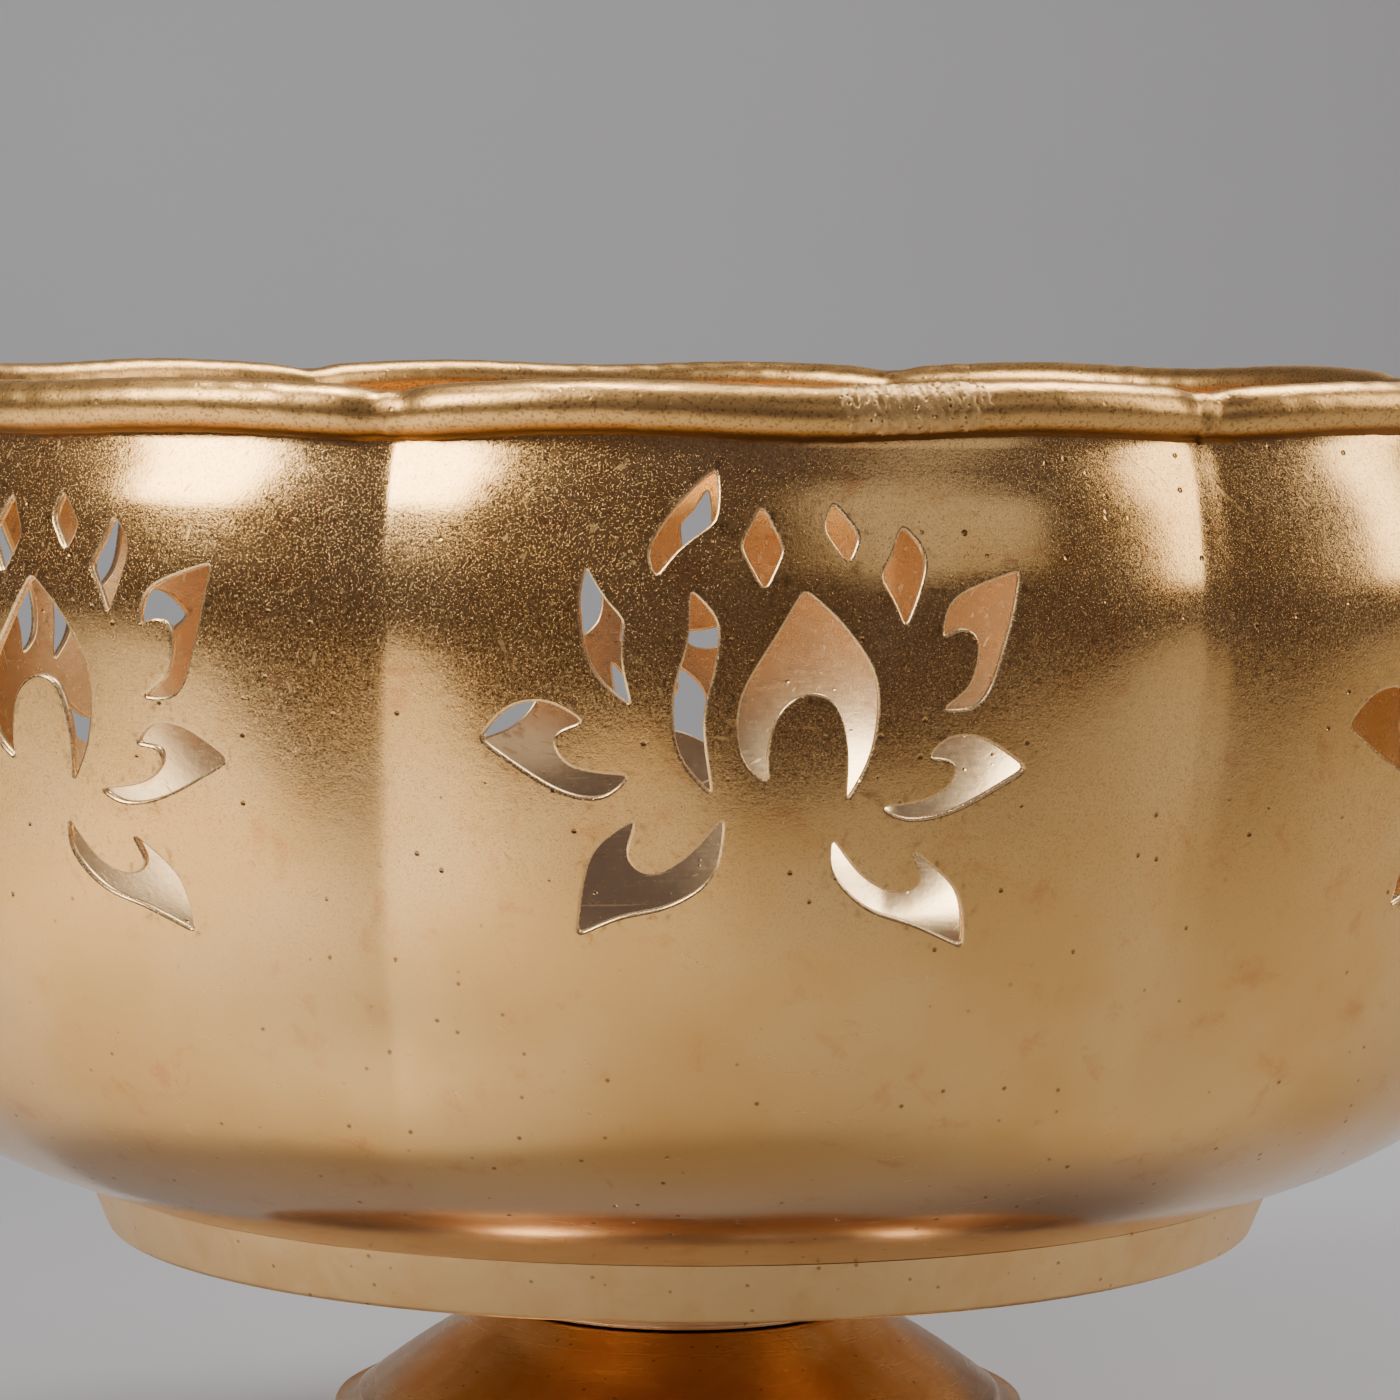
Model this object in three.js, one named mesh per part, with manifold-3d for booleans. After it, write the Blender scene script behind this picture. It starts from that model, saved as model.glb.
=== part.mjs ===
// Brass urli: a fluted, pierced bowl that sits loose in the hoop of a bolted pedestal stand.
// Millimetres, +Z up, origin on the table under the bowl's axis, front lobe facing -Y.
import * as THREE from "three";
import { mergeVertices } from "three/addons/utils/BufferGeometryUtils.js";
import Module from "manifold-3d";

// Bowl
const bowlDepth = 107; // from the seat up to the top of the rim bead
const bellyRadius = 127; // outside of the wall at a lobe's middle, where the bowl is widest
const bellyRise = 77; // above the seat
const shoulderInset = 1.4; // inside the belly's radius
const shoulderDrop = 16; // below the rim's top
const wallTopInset = 4.6; // inside the belly's radius, where the wall enters the bead
const hipInset = 12; // inside the belly's radius, where the wall starts to turn under
const hipRise = 27; // above the seat
const flankIn = 0.33; // a point of the wall this share of the way in from belly to hip
const flankDown = 0.58; // and this share of the way down
const knuckleOut = 0.79; // where wall turns into underside, this share of the way out from seat to hip
const knuckleUp = 0.59; // and this share of the way up
const underOut = 0.47; // a point of the sloping underside, in the same shares
const underUp = 0.26;
const bowlSheet = 1.2;
const baseFlatInset = 18; // the bowl's flat bottom is this much narrower than the seat

// Flutes
const lobeCount = 8;
const fluteDepth = 3.4; // a crease lies this far inside the lobe's middle
const fluteFullRise = 37; // creases are full from this far above the seat
const fluteEndRise = 16; // and gone at this
const creaseLean = THREE.MathUtils.degToRad(1); // the creases lean this far towards their foot

// Lotus piercing
const motifDrop = 38; // middle of the lotus below the rim's top
const frontMotifShift = -7; // the front lotus was marked out this far to the left of its lobe's middle
const cutStep = 7; // longest straight stretch of a sawn edge
const cutterReach = 8; // the openings' cutters run this far past the wall on both sides

// Rim
const beadRadius = 2.95;
const beadSheet = 0.8;
const slotClearance = 0.15; // between the bead's bore and the inner corner of the slot for the wall
const wallBelowBead = 0.6; // upright stretch of wall that shows under the bead
const wallTopRise = 0.45; // wall's top edge above the bead's centre
const seamAngle = THREE.MathUtils.degToRad(4.9); // strip's butt joint, from the front lobe's middle
const seamWidth = 2;

// Hoop and plate
const seatRadius = 80; // outside of the hoop's top edge
const hoopHeight = 7;
const hoopTaper = 3; // the hoop's bottom is this much narrower
const hoopSheet = 1.6;
const plateSheet = 1.2;
const plateLift = 0.2; // underside of the plate above the hoop's bottom edge

// Neck spool
const neckHeight = 11.6;
const neckFlangeRadius = 30;
const neckWaistRadius = 21;
const neckFootInset = 1; // inside the foot's flat crown
const neckLip = 2; // thickness of the spool's two flanges

// Foot
const crownHeight = 34; // flat top of the foot
const crownRadius = 25;
const coneRadius = 43.5;
const coneFoot = 22; // height of the cone's lower edge
const coneBulge = 0.7; // the cone's curve is drawn towards a point this far out and above its middle
const quirkStep = 3; // the skirt starts this far outside the cone
const quirkDrop = 1.5;
const flareIn = 0.2; // the skirt's curve is drawn towards a point this share of the way out
const flareUp = 3; // and this far above the skirt's edge
const footSheet = 1.5;
const footRingRadius = 68;
const footRingHeight = 5;
const footRingWidth = 8;
const footRingNose = 0.9; // half the turn, in radians, of the ring's rounded outer edge
const skirtInset = 5; // the skirt's edge stands this far inside the ring's outside

// Fasteners
const boltRadius = 3;
const boltClearance = 0.4;
const boltTip = 0.75; // chamfer at the bolt's end
const headRadius = 8;
const headHeight = 1.4;
const washerSheet = 0.8;
const plateWasherRadius = 10;
const footWasherRadius = 13;
const lockWasherRadius = 5.5;
const lockWasherSheet = 1.4;
const lockWasherCut = 0.9;
const nutAcrossFlats = 10;
const nutHeight = 5;
const boltPastNut = 2.5;

const gap = 0.3; // between faces that touch

// Facets
const roundSides = 40;
const smallSides = 20;
const columnsPerLobe = 6;
const wallRows = 9;
const undersideRows = 3;

// The stand, stacked from the foot up
const neckBottom = crownHeight + gap;
const neckTop = neckBottom + neckHeight;
const neckFootRadius = crownRadius - neckFootInset;
const plateBottom = neckTop + gap;
const plateTop = plateBottom + plateSheet;
const hoopBottom = plateBottom - plateLift;
const hoopBottomRadius = seatRadius - hoopTaper;
const seatHeight = hoopBottom + hoopHeight;
const boltHole = boltRadius + boltClearance;
const boltHeadBottom = plateTop + 2 * gap + washerSheet;
const boltHeadTop = boltHeadBottom + headHeight;
const crownUnderside = crownHeight - footSheet;
const footWasherTop = crownUnderside - gap;
const lockWasherTop = footWasherTop - washerSheet - gap;
const nutTop = lockWasherTop - lockWasherSheet - gap;
const skirtRadius = footRingRadius - skirtInset;

// The bowl, which clears the bolt's head and rests on the hoop
const baseHeight = boltHeadTop + gap;
const baseFlatRadius = seatRadius - baseFlatInset;
const rimHeight = seatHeight + bowlDepth;
const bellyHeight = seatHeight + bellyRise;
const hipHeight = seatHeight + hipRise;
const fluteFullHeight = seatHeight + fluteFullRise;
const fluteEndHeight = seatHeight + fluteEndRise;
const motifHeight = rimHeight - motifDrop;
const hipRadius = bellyRadius - hipInset;
const wallTopRadius = bellyRadius - wallTopInset;
const lobeAngle = (2 * Math.PI) / lobeCount;
const columnAngle = lobeAngle / columnsPerLobe;
const beadHeight = rimHeight - beadRadius;
const beadBore = beadRadius - beadSheet;
const beadOffset = beadBore - slotClearance - gap - bowlSheet / 2; // bead's centre outside the wall's middle

const goldSatin = { color: 0xb98f55, roughness: 0.38, metalness: 1 };
const goldDark = { color: 0x8f6637, roughness: 0.5, metalness: 1 };
const brazeMetal = { color: 0x8c6a3c, roughness: 0.7, metalness: 1 };
const steel = { color: 0x9a9a98, roughness: 0.45, metalness: 1 };

const nearly = 1e-6;

const wasm = await Module();
wasm.setup();

function toSolid(geometry) {
  const bare = geometry.clone();
  bare.deleteAttribute("normal");
  bare.deleteAttribute("uv");
  const merged = mergeVertices(bare, 1e-4);
  return new wasm.Manifold(
    new wasm.Mesh({
      numProp: 3,
      vertProperties: new Float32Array(merged.attributes.position.array),
      triVerts: new Uint32Array(merged.index.array),
    }),
  );
}

function toGeometry(solid) {
  const mesh = solid.getMesh();
  const geometry = new THREE.BufferGeometry();
  geometry.setAttribute("position", new THREE.BufferAttribute(mesh.vertProperties, 3));
  geometry.setIndex(new THREE.BufferAttribute(mesh.triVerts, 1));
  geometry.computeVertexNormals();
  return geometry;
}

// Angle is measured from -Y towards +X, so that 0 is the middle of the front lobe.
function polar(radius, angle, height) {
  return [radius * Math.sin(angle), -radius * Math.cos(angle), height];
}

function fluteStrength(height) {
  return THREE.MathUtils.smoothstep(height, fluteEndHeight, fluteFullHeight);
}

// How far the wall lies inside its lobe's middle: a parabola across each lobe.
function fluteInset(angle, height) {
  const acrossLobe = angle / lobeAngle - Math.round(angle / lobeAngle);
  return fluteDepth * fluteStrength(height) * (2 * acrossLobe) ** 2;
}

// The outside of the wall at a lobe's middle, from the rim down to the flat base.
function wallProfile() {
  const wallTop = new THREE.Vector2(wallTopRadius, beadHeight + wallTopRise);
  const belly = new THREE.Vector2(bellyRadius, bellyHeight);
  const hip = new THREE.Vector2(hipRadius, hipHeight);
  const seat = new THREE.Vector2(seatRadius - hoopSheet / 2, seatHeight + gap);
  const curve = new THREE.SplineCurve([
    new THREE.Vector2(wallTopRadius, rimHeight - 2 * beadRadius - wallBelowBead),
    new THREE.Vector2(bellyRadius - shoulderInset, rimHeight - shoulderDrop),
    belly,
    new THREE.Vector2(
      THREE.MathUtils.lerp(belly.x, hip.x, flankIn),
      THREE.MathUtils.lerp(belly.y, hip.y, flankDown),
    ),
    hip,
    new THREE.Vector2(
      THREE.MathUtils.lerp(seat.x, hip.x, knuckleOut),
      THREE.MathUtils.lerp(seat.y, hip.y, knuckleUp),
    ),
    new THREE.Vector2(
      THREE.MathUtils.lerp(seat.x, hip.x, underOut),
      THREE.MathUtils.lerp(seat.y, hip.y, underUp),
    ),
    seat,
  ]);
  const underside = Array.from({ length: undersideRows }, (_, i) => {
    const out = (undersideRows - 1 - i) / undersideRows;
    return new THREE.Vector2(
      THREE.MathUtils.lerp(baseFlatRadius, seat.x, out),
      THREE.MathUtils.lerp(baseHeight, seat.y, out ** 2),
    );
  });
  return [wallTop, ...curve.getPoints(wallRows), ...underside];
}

// Radius of the faceted wall's top edge: columns stand on the lobed outline, with straight runs between.
function rimRadiusAt(angle) {
  const column = Math.floor(angle / columnAngle + nearly);
  const corner = (c) => {
    const turn = c * columnAngle;
    const radius = wallTopRadius - fluteInset(turn, rimHeight);
    return new THREE.Vector2(radius * Math.sin(turn), radius * Math.cos(turn));
  };
  return corner(column).lerp(corner(column + 1), angle / columnAngle - column).length();
}

// The same line moved inwards by the sheet's thickness, square to itself.
function insideProfile(outside) {
  return outside.map((point, i) => {
    const before = outside[Math.max(i - 1, 0)];
    const after = outside[Math.min(i + 1, outside.length - 1)];
    const along = after.clone().sub(before).normalize();
    const inward = i === 0 ? new THREE.Vector2(-1, 0) : new THREE.Vector2(along.y, -along.x);
    return point.clone().add(inward.multiplyScalar(bowlSheet));
  });
}

// A closed shell: outer rows from the base's middle to the rim, inner rows back to the middle.
function shellGeometry() {
  const outside = wallProfile();
  const inside = insideProfile(outside);
  inside[inside.length - 1].y = baseHeight + bowlSheet;
  const rows = [...outside.slice().reverse(), ...inside];
  const columns = lobeCount * columnsPerLobe;
  const positions = [];
  rows.forEach((row) => {
    for (let c = 0; c < columns; c += 1) {
      const angle = c * columnAngle;
      const lean = creaseLean * (1 - THREE.MathUtils.smoothstep(row.y, fluteEndHeight, bellyHeight));
      positions.push(...polar(row.x - fluteInset(angle, row.y), angle - lean, row.y));
    }
  });
  const outerPole = positions.length / 3;
  positions.push(0, 0, baseHeight);
  const innerPole = positions.length / 3;
  positions.push(0, 0, baseHeight + bowlSheet);
  const faces = [];
  for (let c = 0; c < columns; c += 1) {
    const next = (c + 1) % columns;
    for (let r = 0; r < rows.length - 1; r += 1) {
      const a = r * columns + c;
      const b = r * columns + next;
      faces.push(a, b, b + columns, a, b + columns, a + columns);
    }
    const last = (rows.length - 1) * columns;
    faces.push(outerPole, next, c);
    faces.push(innerPole, last + c, last + next);
  }
  const geometry = new THREE.BufferGeometry();
  geometry.setAttribute("position", new THREE.Float32BufferAttribute(positions, 3));
  geometry.setIndex(faces);
  return geometry;
}

// The twelve openings of one lotus. Each outline is a ring of strokes, and a stroke is a smooth
// curve through its points that starts where the one before it ended, at a sharp corner.
// Points are [sideways from the lotus's middle line, up from its middle].
const lotus = {
  upperLeftLeaf: [
    [[-4.4, 28.5], [-4.2, 25.5], [-4.5, 22.6]],
    [[-4.5, 22.6], [-8.6, 19.6], [-11.2, 16.4]],
    [[-11.2, 16.4], [-11.8, 19.8], [-8.4, 24.9], [-4.4, 28.5]],
  ],
  tallDiamond: [
    [[0.6, 24.5], [3.1, 19.7]],
    [[3.1, 19.7], [0.9, 15]],
    [[0.9, 15], [-1.8, 20]],
    [[-1.8, 20], [0.6, 24.5]],
  ],
  smallDiamond: [
    [[8.5, 24.9], [11.6, 21.1]],
    [[11.6, 21.1], [10.2, 17.9]],
    [[10.2, 17.9], [7.5, 21.8]],
    [[7.5, 21.8], [8.5, 24.9]],
  ],
  upperRightLeaf: [
    [[16.3, 22.3], [18.9, 18.4], [16.5, 10.9]],
    [[16.5, 10.9], [15.4, 13.8], [13.7, 16.7]],
    [[13.7, 16.7], [15.1, 19], [16.3, 22.3]],
  ],
  upperRightCurl: [
    [[29.9, 17.3], [28.2, 9.6], [25.6, 2.7], [20.8, 1.8]],
    [[20.8, 1.8], [24.3, 4.8], [24.9, 9.8], [22.6, 10.9], [20.7, 9.7]],
    [[20.7, 9.7], [22.2, 14.2], [29.9, 17.3]],
  ],
  rightCurl: [
    [[31.5, -4.9], [26, -1.5], [21.8, -1.3], [19.4, -3.5]],
    [[19.4, -3.5], [22.8, -4], [22.2, -6.6], [19, -8.3], [14.1, -8.9]],
    [[14.1, -8.9], [17.6, -10.3], [23.2, -9.2], [31.5, -4.9]],
  ],
  lowerRightCurl: [
    [[8.8, -12.3], [9.2, -16.4], [13.2, -20.3], [19, -22.4], [25, -25.1]],
    [[25, -25.1], [23.6, -18.6], [18, -13.8]],
    [[18, -13.8], [19.5, -17.4], [16.6, -18.7], [12.5, -16.8], [8.8, -12.3]],
  ],
  lowerLeftCurl: [
    [[-13.3, -10.3], [-14.4, -14.6], [-11.7, -16.6], [-7.6, -14.6], [-3.4, -10]],
    [[-3.4, -10], [-4.6, -16.4], [-9.2, -19.9], [-15.4, -21.5], [-20.2, -23.6]],
    [[-20.2, -23.6], [-18.4, -14.6], [-13.3, -10.3]],
  ],
  leftCurl: [
    [[-31.2, -1.6], [-27.6, 1.9], [-23.2, 2.6], [-19, 0.5]],
    [[-19, 0.5], [-22.6, -1.1], [-21.4, -4.1], [-18.3, -5.1], [-13.9, -5.4]],
    [[-13.9, -5.4], [-17.3, -7.9], [-22.6, -6.9], [-31.2, -1.6]],
  ],
  upperLeftCrescent: [
    [[-19, 17.8], [-16.8, 14.2], [-14.5, 11.7]],
    [[-14.5, 11.7], [-14.9, 7.4], [-13.8, 2.2]],
    [[-13.8, 2.2], [-18.1, 6.4], [-19.6, 13], [-19, 17.8]],
  ],
  innerStrip: [
    [[-7.4, 15.3], [-4.3, 11.6], [-4.6, 6.6], [-5.8, 0.4], [-4.8, -7.5]],
    [[-4.8, -7.5], [-8.4, -3], [-9.1, 3.2], [-7.5, 9.8], [-7.4, 15.3]],
  ],
  flame: [
    [[5.2, 15.3], [9.8, 10.9], [13.3, 5], [13, -2.6], [10.3, -8.3]],
    [[10.3, -8.3], [10.3, -2.2], [8.8, 2.7], [5.6, 3.8], [2.5, 1.5], [1.3, -3], [1.5, -6.3]],
    [[1.5, -6.3], [-1.5, -3.2], [-1.6, 3.2], [2.4, 10.4], [5.2, 15.3]],
  ],
};

function openingShape(strokes) {
  const outline = [];
  strokes.forEach((stroke) => {
    const points = stroke.map(([x, y]) => new THREE.Vector2(x, y));
    const curve = new THREE.SplineCurve(points);
    const leastSteps = points.length > 2 ? 2 : 1;
    const steps = Math.max(leastSteps, Math.round(curve.getLength() / cutStep));
    outline.push(...curve.getSpacedPoints(steps).slice(0, -1));
  });
  return new THREE.Shape(outline);
}

// A radial prism: the opening's outline wrapped round the bowl's axis, from inside the wall to
// outside it.
function openingCutter(strokes, middleAngle) {
  const innerReach = hipRadius - fluteDepth - cutterReach;
  const outerReach = bellyRadius + cutterReach;
  const geometry = new THREE.ExtrudeGeometry(openingShape(strokes), {
    depth: outerReach - innerReach,
    bevelEnabled: false,
  });
  const place = geometry.attributes.position;
  for (let i = 0; i < place.count; i += 1) {
    const angle = middleAngle + place.getX(i) / bellyRadius;
    place.setXYZ(i, ...polar(innerReach + place.getZ(i), angle, motifHeight + place.getY(i)));
  }
  return toSolid(geometry);
}

function bowlShell() {
  let solid = toSolid(shellGeometry());
  for (let lobe = 0; lobe < lobeCount; lobe += 1) {
    const shift = lobe === 0 ? frontMotifShift / bellyRadius : 0;
    const middleAngle = lobe * lobeAngle + shift;
    Object.values(lotus).forEach((strokes) => {
      solid = solid.subtract(openingCutter(strokes, middleAngle));
    });
  }
  return toGeometry(solid);
}

// Bead section: a circle of sheet, open below where the wall comes in. Sideways from the bead's
// centre and up from it.
function beadSection() {
  const slotInside = -beadOffset - bowlSheet / 2 - gap;
  const slotOutside = -beadOffset + bowlSheet / 2 + gap;
  const arc = (radius, from, to, steps) =>
    Array.from({ length: steps + 1 }, (_, i) => {
      const turn = THREE.MathUtils.lerp(from, to, i / steps);
      return new THREE.Vector2(radius * Math.cos(turn), radius * Math.sin(turn));
    });
  const below = (radius, x) => Math.atan2(-Math.sqrt(radius ** 2 - x ** 2), x);
  const fullTurn = 2 * Math.PI;
  return [
    ...arc(beadRadius, below(beadRadius, slotOutside), below(beadRadius, slotInside) + fullTurn, 9),
    ...arc(beadBore, below(beadBore, slotInside) + fullTurn, below(beadBore, slotOutside), 5),
  ];
}

// The bead's section carried round the wall's lobed top edge between two angles, with flat ends.
function beadSweep(startAngle, endAngle) {
  const section = beadSection();
  const between = Array.from({ length: 2 * lobeCount * columnsPerLobe }, (_, c) => c * columnAngle);
  const angles = [
    startAngle,
    ...between.filter((angle) => angle > startAngle + nearly && angle < endAngle - nearly),
    endAngle,
  ];
  const positions = [];
  angles.forEach((angle) => {
    const centre = rimRadiusAt(angle) - bowlSheet / 2 + beadOffset;
    section.forEach((point) => {
      positions.push(...polar(centre + point.x, angle, beadHeight + point.y));
    });
  });
  const around = section.length;
  const faces = [];
  for (let a = 0; a < angles.length - 1; a += 1) {
    for (let s = 0; s < around; s += 1) {
      const here = a * around + s;
      const beside = a * around + ((s + 1) % around);
      faces.push(here, here + around, beside + around, here, beside + around, beside);
    }
  }
  const cap = THREE.ShapeUtils.triangulateShape(section, []);
  const last = (angles.length - 1) * around;
  cap.forEach(([a, b, c]) => {
    faces.push(a, b, c);
    faces.push(last + a, last + c, last + b);
  });
  const geometry = new THREE.BufferGeometry();
  geometry.setAttribute("position", new THREE.Float32BufferAttribute(positions, 3));
  geometry.setIndex(faces);
  return geometry;
}

function outwards(geometry) {
  if (toSolid(geometry).volume() >= 0) {
    return geometry;
  }
  const flipped = geometry.clone();
  const order = Array.from(flipped.index.array);
  for (let i = 0; i < order.length; i += 3) {
    [order[i + 1], order[i + 2]] = [order[i + 2], order[i + 1]];
  }
  flipped.setIndex(order);
  return flipped;
}

function rimCover() {
  const halfSeam = seamWidth / 2 / wallTopRadius;
  return outwards(beadSweep(seamAngle + halfSeam, seamAngle + 2 * Math.PI - halfSeam));
}

function rimBraze() {
  const halfPlug = (seamWidth / 2 - gap) / wallTopRadius;
  return outwards(beadSweep(seamAngle - halfPlug, seamAngle + halfPlug));
}

// A ring turned from a closed section of [radius, height] points, stood up along +Z.
function turned(section, sides) {
  const points = section.map(([r, z]) => new THREE.Vector2(r, z));
  points.push(points[0].clone());
  const geometry = new THREE.LatheGeometry(points, sides);
  geometry.rotateX(Math.PI / 2);
  geometry.deleteAttribute("normal");
  geometry.deleteAttribute("uv");
  return outwards(mergeVertices(geometry, 1e-4));
}

// The hoop's top edge is dressed to the slope of the bowl's underside.
function seatHoop() {
  const profile = wallProfile();
  const seat = profile.findIndex((point) => point.y <= seatHeight + gap + nearly);
  const slope = (profile[seat - 1].y - profile[seat].y) / (profile[seat - 1].x - profile[seat].x);
  const dressed = Math.min(slope * hoopSheet, hoopHeight / 3);
  return turned(
    [
      [hoopBottomRadius - hoopSheet, hoopBottom],
      [hoopBottomRadius, hoopBottom],
      [seatRadius, seatHeight],
      [seatRadius - hoopSheet, seatHeight - dressed],
    ],
    roundSides,
  );
}

function seatPlate() {
  const edge = hoopBottomRadius - hoopSheet - gap;
  const edgeAt = (height) => edge + (hoopTaper * (height - hoopBottom)) / hoopHeight;
  return turned(
    [
      [boltHole, plateBottom],
      [edgeAt(plateBottom), plateBottom],
      [edgeAt(plateTop), plateTop],
      [boltHole, plateTop],
    ],
    roundSides,
  );
}

// Two flanges joined by a hollow curve that narrows to the waist.
function neckSpool() {
  const waist = (neckTop + neckBottom) / 2;
  const cove = new THREE.SplineCurve([
    new THREE.Vector2(neckFootRadius, neckBottom + neckLip),
    new THREE.Vector2(neckWaistRadius, waist),
    new THREE.Vector2(neckFlangeRadius, neckTop - neckLip),
  ]);
  const sides = cove.getPoints(6).map((point) => [point.x, point.y]);
  return turned(
    [
      [boltHole, neckBottom],
      [neckFootRadius, neckBottom],
      ...sides,
      [neckFlangeRadius, neckTop],
      [boltHole, neckTop],
    ],
    roundSides,
  );
}

// Outside of the foot from the crown's edge: a slightly bulging cone, a step, then a skirt that
// flares to the ring.
function footProfile() {
  const steps = 5;
  const crownEdge = new THREE.Vector2(crownRadius, crownHeight);
  const coneEdge = new THREE.Vector2(coneRadius, coneFoot);
  const middle = crownEdge.clone().lerp(coneEdge, 1 / 2);
  const cone = new THREE.QuadraticBezierCurve(crownEdge, middle.addScalar(coneBulge), coneEdge);
  const skirtTop = new THREE.Vector2(coneRadius + quirkStep, coneFoot - quirkDrop);
  const skirtFoot = new THREE.Vector2(skirtRadius, footRingHeight + gap);
  const flare = new THREE.QuadraticBezierCurve(
    skirtTop,
    new THREE.Vector2(THREE.MathUtils.lerp(skirtTop.x, skirtFoot.x, flareIn), skirtFoot.y + flareUp),
    skirtFoot,
  );
  return [cone, flare].flatMap((curve) => curve.getPoints(steps).map((point) => [point.x, point.y]));
}

// The same line moved inwards by the sheet's thickness: straight down at the crown, level at the
// skirt's edge, and square to itself between them.
function footUnderside(outside) {
  const last = outside.length - 1;
  return outside.map(([r, z], i) => {
    const [r0, z0] = outside[Math.max(i - 1, 0)];
    const [r1, z1] = outside[Math.min(i + 1, last)];
    const along = new THREE.Vector2(r1 - r0, z1 - z0).normalize();
    const inwards = new THREE.Vector2(along.y, -along.x);
    if (i === 0) {
      inwards.set(0, -1);
    }
    if (i === last) {
      inwards.set(1 / along.y, 0);
    }
    return [r + inwards.x * footSheet, z + inwards.y * footSheet];
  });
}

function footBell() {
  const outside = footProfile();
  const inside = footUnderside(outside).reverse();
  return turned([[boltHole, crownHeight], ...outside, ...inside, [boltHole, crownUnderside]], roundSides);
}

function footRing() {
  const innerRadius = footRingRadius - footRingWidth;
  const edge = footRingHeight / 2;
  const nose = [-footRingNose, 0, footRingNose].map((turn) => [
    footRingRadius - edge + edge * Math.cos(turn),
    edge + edge * Math.sin(turn),
  ]);
  return turned(
    [
      [innerRadius, 0],
      [footRingRadius - edge, 0],
      ...nose,
      [footRingRadius - edge, footRingHeight],
      [innerRadius, footRingHeight],
    ],
    roundSides,
  );
}

function washer(radius, sheet, top) {
  const bottom = top - sheet;
  return turned([[boltHole, bottom], [radius, bottom], [radius, top], [boltHole, top]], smallSides);
}

// A split ring: the washer less a narrow radial slot.
function lockWasher() {
  const ring = toSolid(washer(lockWasherRadius, lockWasherSheet, lockWasherTop));
  const slot = new THREE.BoxGeometry(lockWasherRadius * 2, lockWasherCut, lockWasherSheet * 2);
  slot.translate(lockWasherRadius, 0, lockWasherTop - lockWasherSheet / 2);
  return toGeometry(ring.subtract(toSolid(slot)));
}

// Plain shank with a low domed head.
function tieBolt() {
  const end = nutTop - nutHeight - boltPastNut;
  const steps = 3;
  const head = Array.from({ length: steps + 1 }, (_, i) => {
    const turn = (i / steps) * (Math.PI / 2);
    return [headRadius * Math.cos(turn), boltHeadBottom + headHeight * Math.sin(turn)];
  });
  return turned(
    [
      [0, end],
      [boltRadius - boltTip, end],
      [boltRadius, end + boltTip],
      [boltRadius, boltHeadBottom],
      ...head.slice(0, -1),
      [0, boltHeadTop],
    ],
    smallSides,
  );
}

function tieNut() {
  const corner = nutAcrossFlats / 2 / Math.cos(Math.PI / 6);
  const corners = Array.from({ length: 6 }, (_, i) =>
    new THREE.Vector2(corner, 0).rotateAround(new THREE.Vector2(), (i * Math.PI) / 3),
  );
  const hexagon = new THREE.Shape(corners);
  const bore = new THREE.Path();
  bore.absarc(0, 0, boltHole, 0, 2 * Math.PI, true);
  hexagon.holes.push(bore);
  const geometry = new THREE.ExtrudeGeometry(hexagon, {
    depth: nutHeight,
    bevelEnabled: false,
    curveSegments: smallSides / 2,
  });
  geometry.translate(0, 0, nutTop - nutHeight);
  return geometry;
}

function piece(name, geometry, look) {
  const mesh = new THREE.Mesh(geometry, new THREE.MeshStandardMaterial(look));
  mesh.name = name;
  return mesh;
}

const bowl = new THREE.Group();
bowl.add(
  piece("bowl_shell", bowlShell(), goldSatin),
  piece("rim_cover", rimCover(), goldSatin),
  piece("rim_braze", rimBraze(), brazeMetal),
);

const stand = new THREE.Group();
stand.add(
  piece("seat_hoop", seatHoop(), goldSatin),
  piece("seat_plate", seatPlate(), goldDark),
  piece("neck_spool", neckSpool(), goldDark),
  piece("foot_bell", footBell(), goldDark),
  piece("foot_ring", footRing(), goldDark),
  piece("tie_bolt", tieBolt(), steel),
  piece("plate_washer", washer(plateWasherRadius, washerSheet, plateTop + gap + washerSheet), steel),
  piece("foot_washer", washer(footWasherRadius, washerSheet, footWasherTop), steel),
  piece("lock_washer", lockWasher(), steel),
  piece("tie_nut", tieNut(), steel),
);

const urli = new THREE.Group();
urli.add(bowl, stand);

export default urli;
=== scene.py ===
# Pierced and fluted brass urli on a bolted pedestal stand.
import math

import bpy
import numpy as np
from mathutils import Euler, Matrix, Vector
from mathutils.geometry import delaunay_2d_cdt


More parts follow.
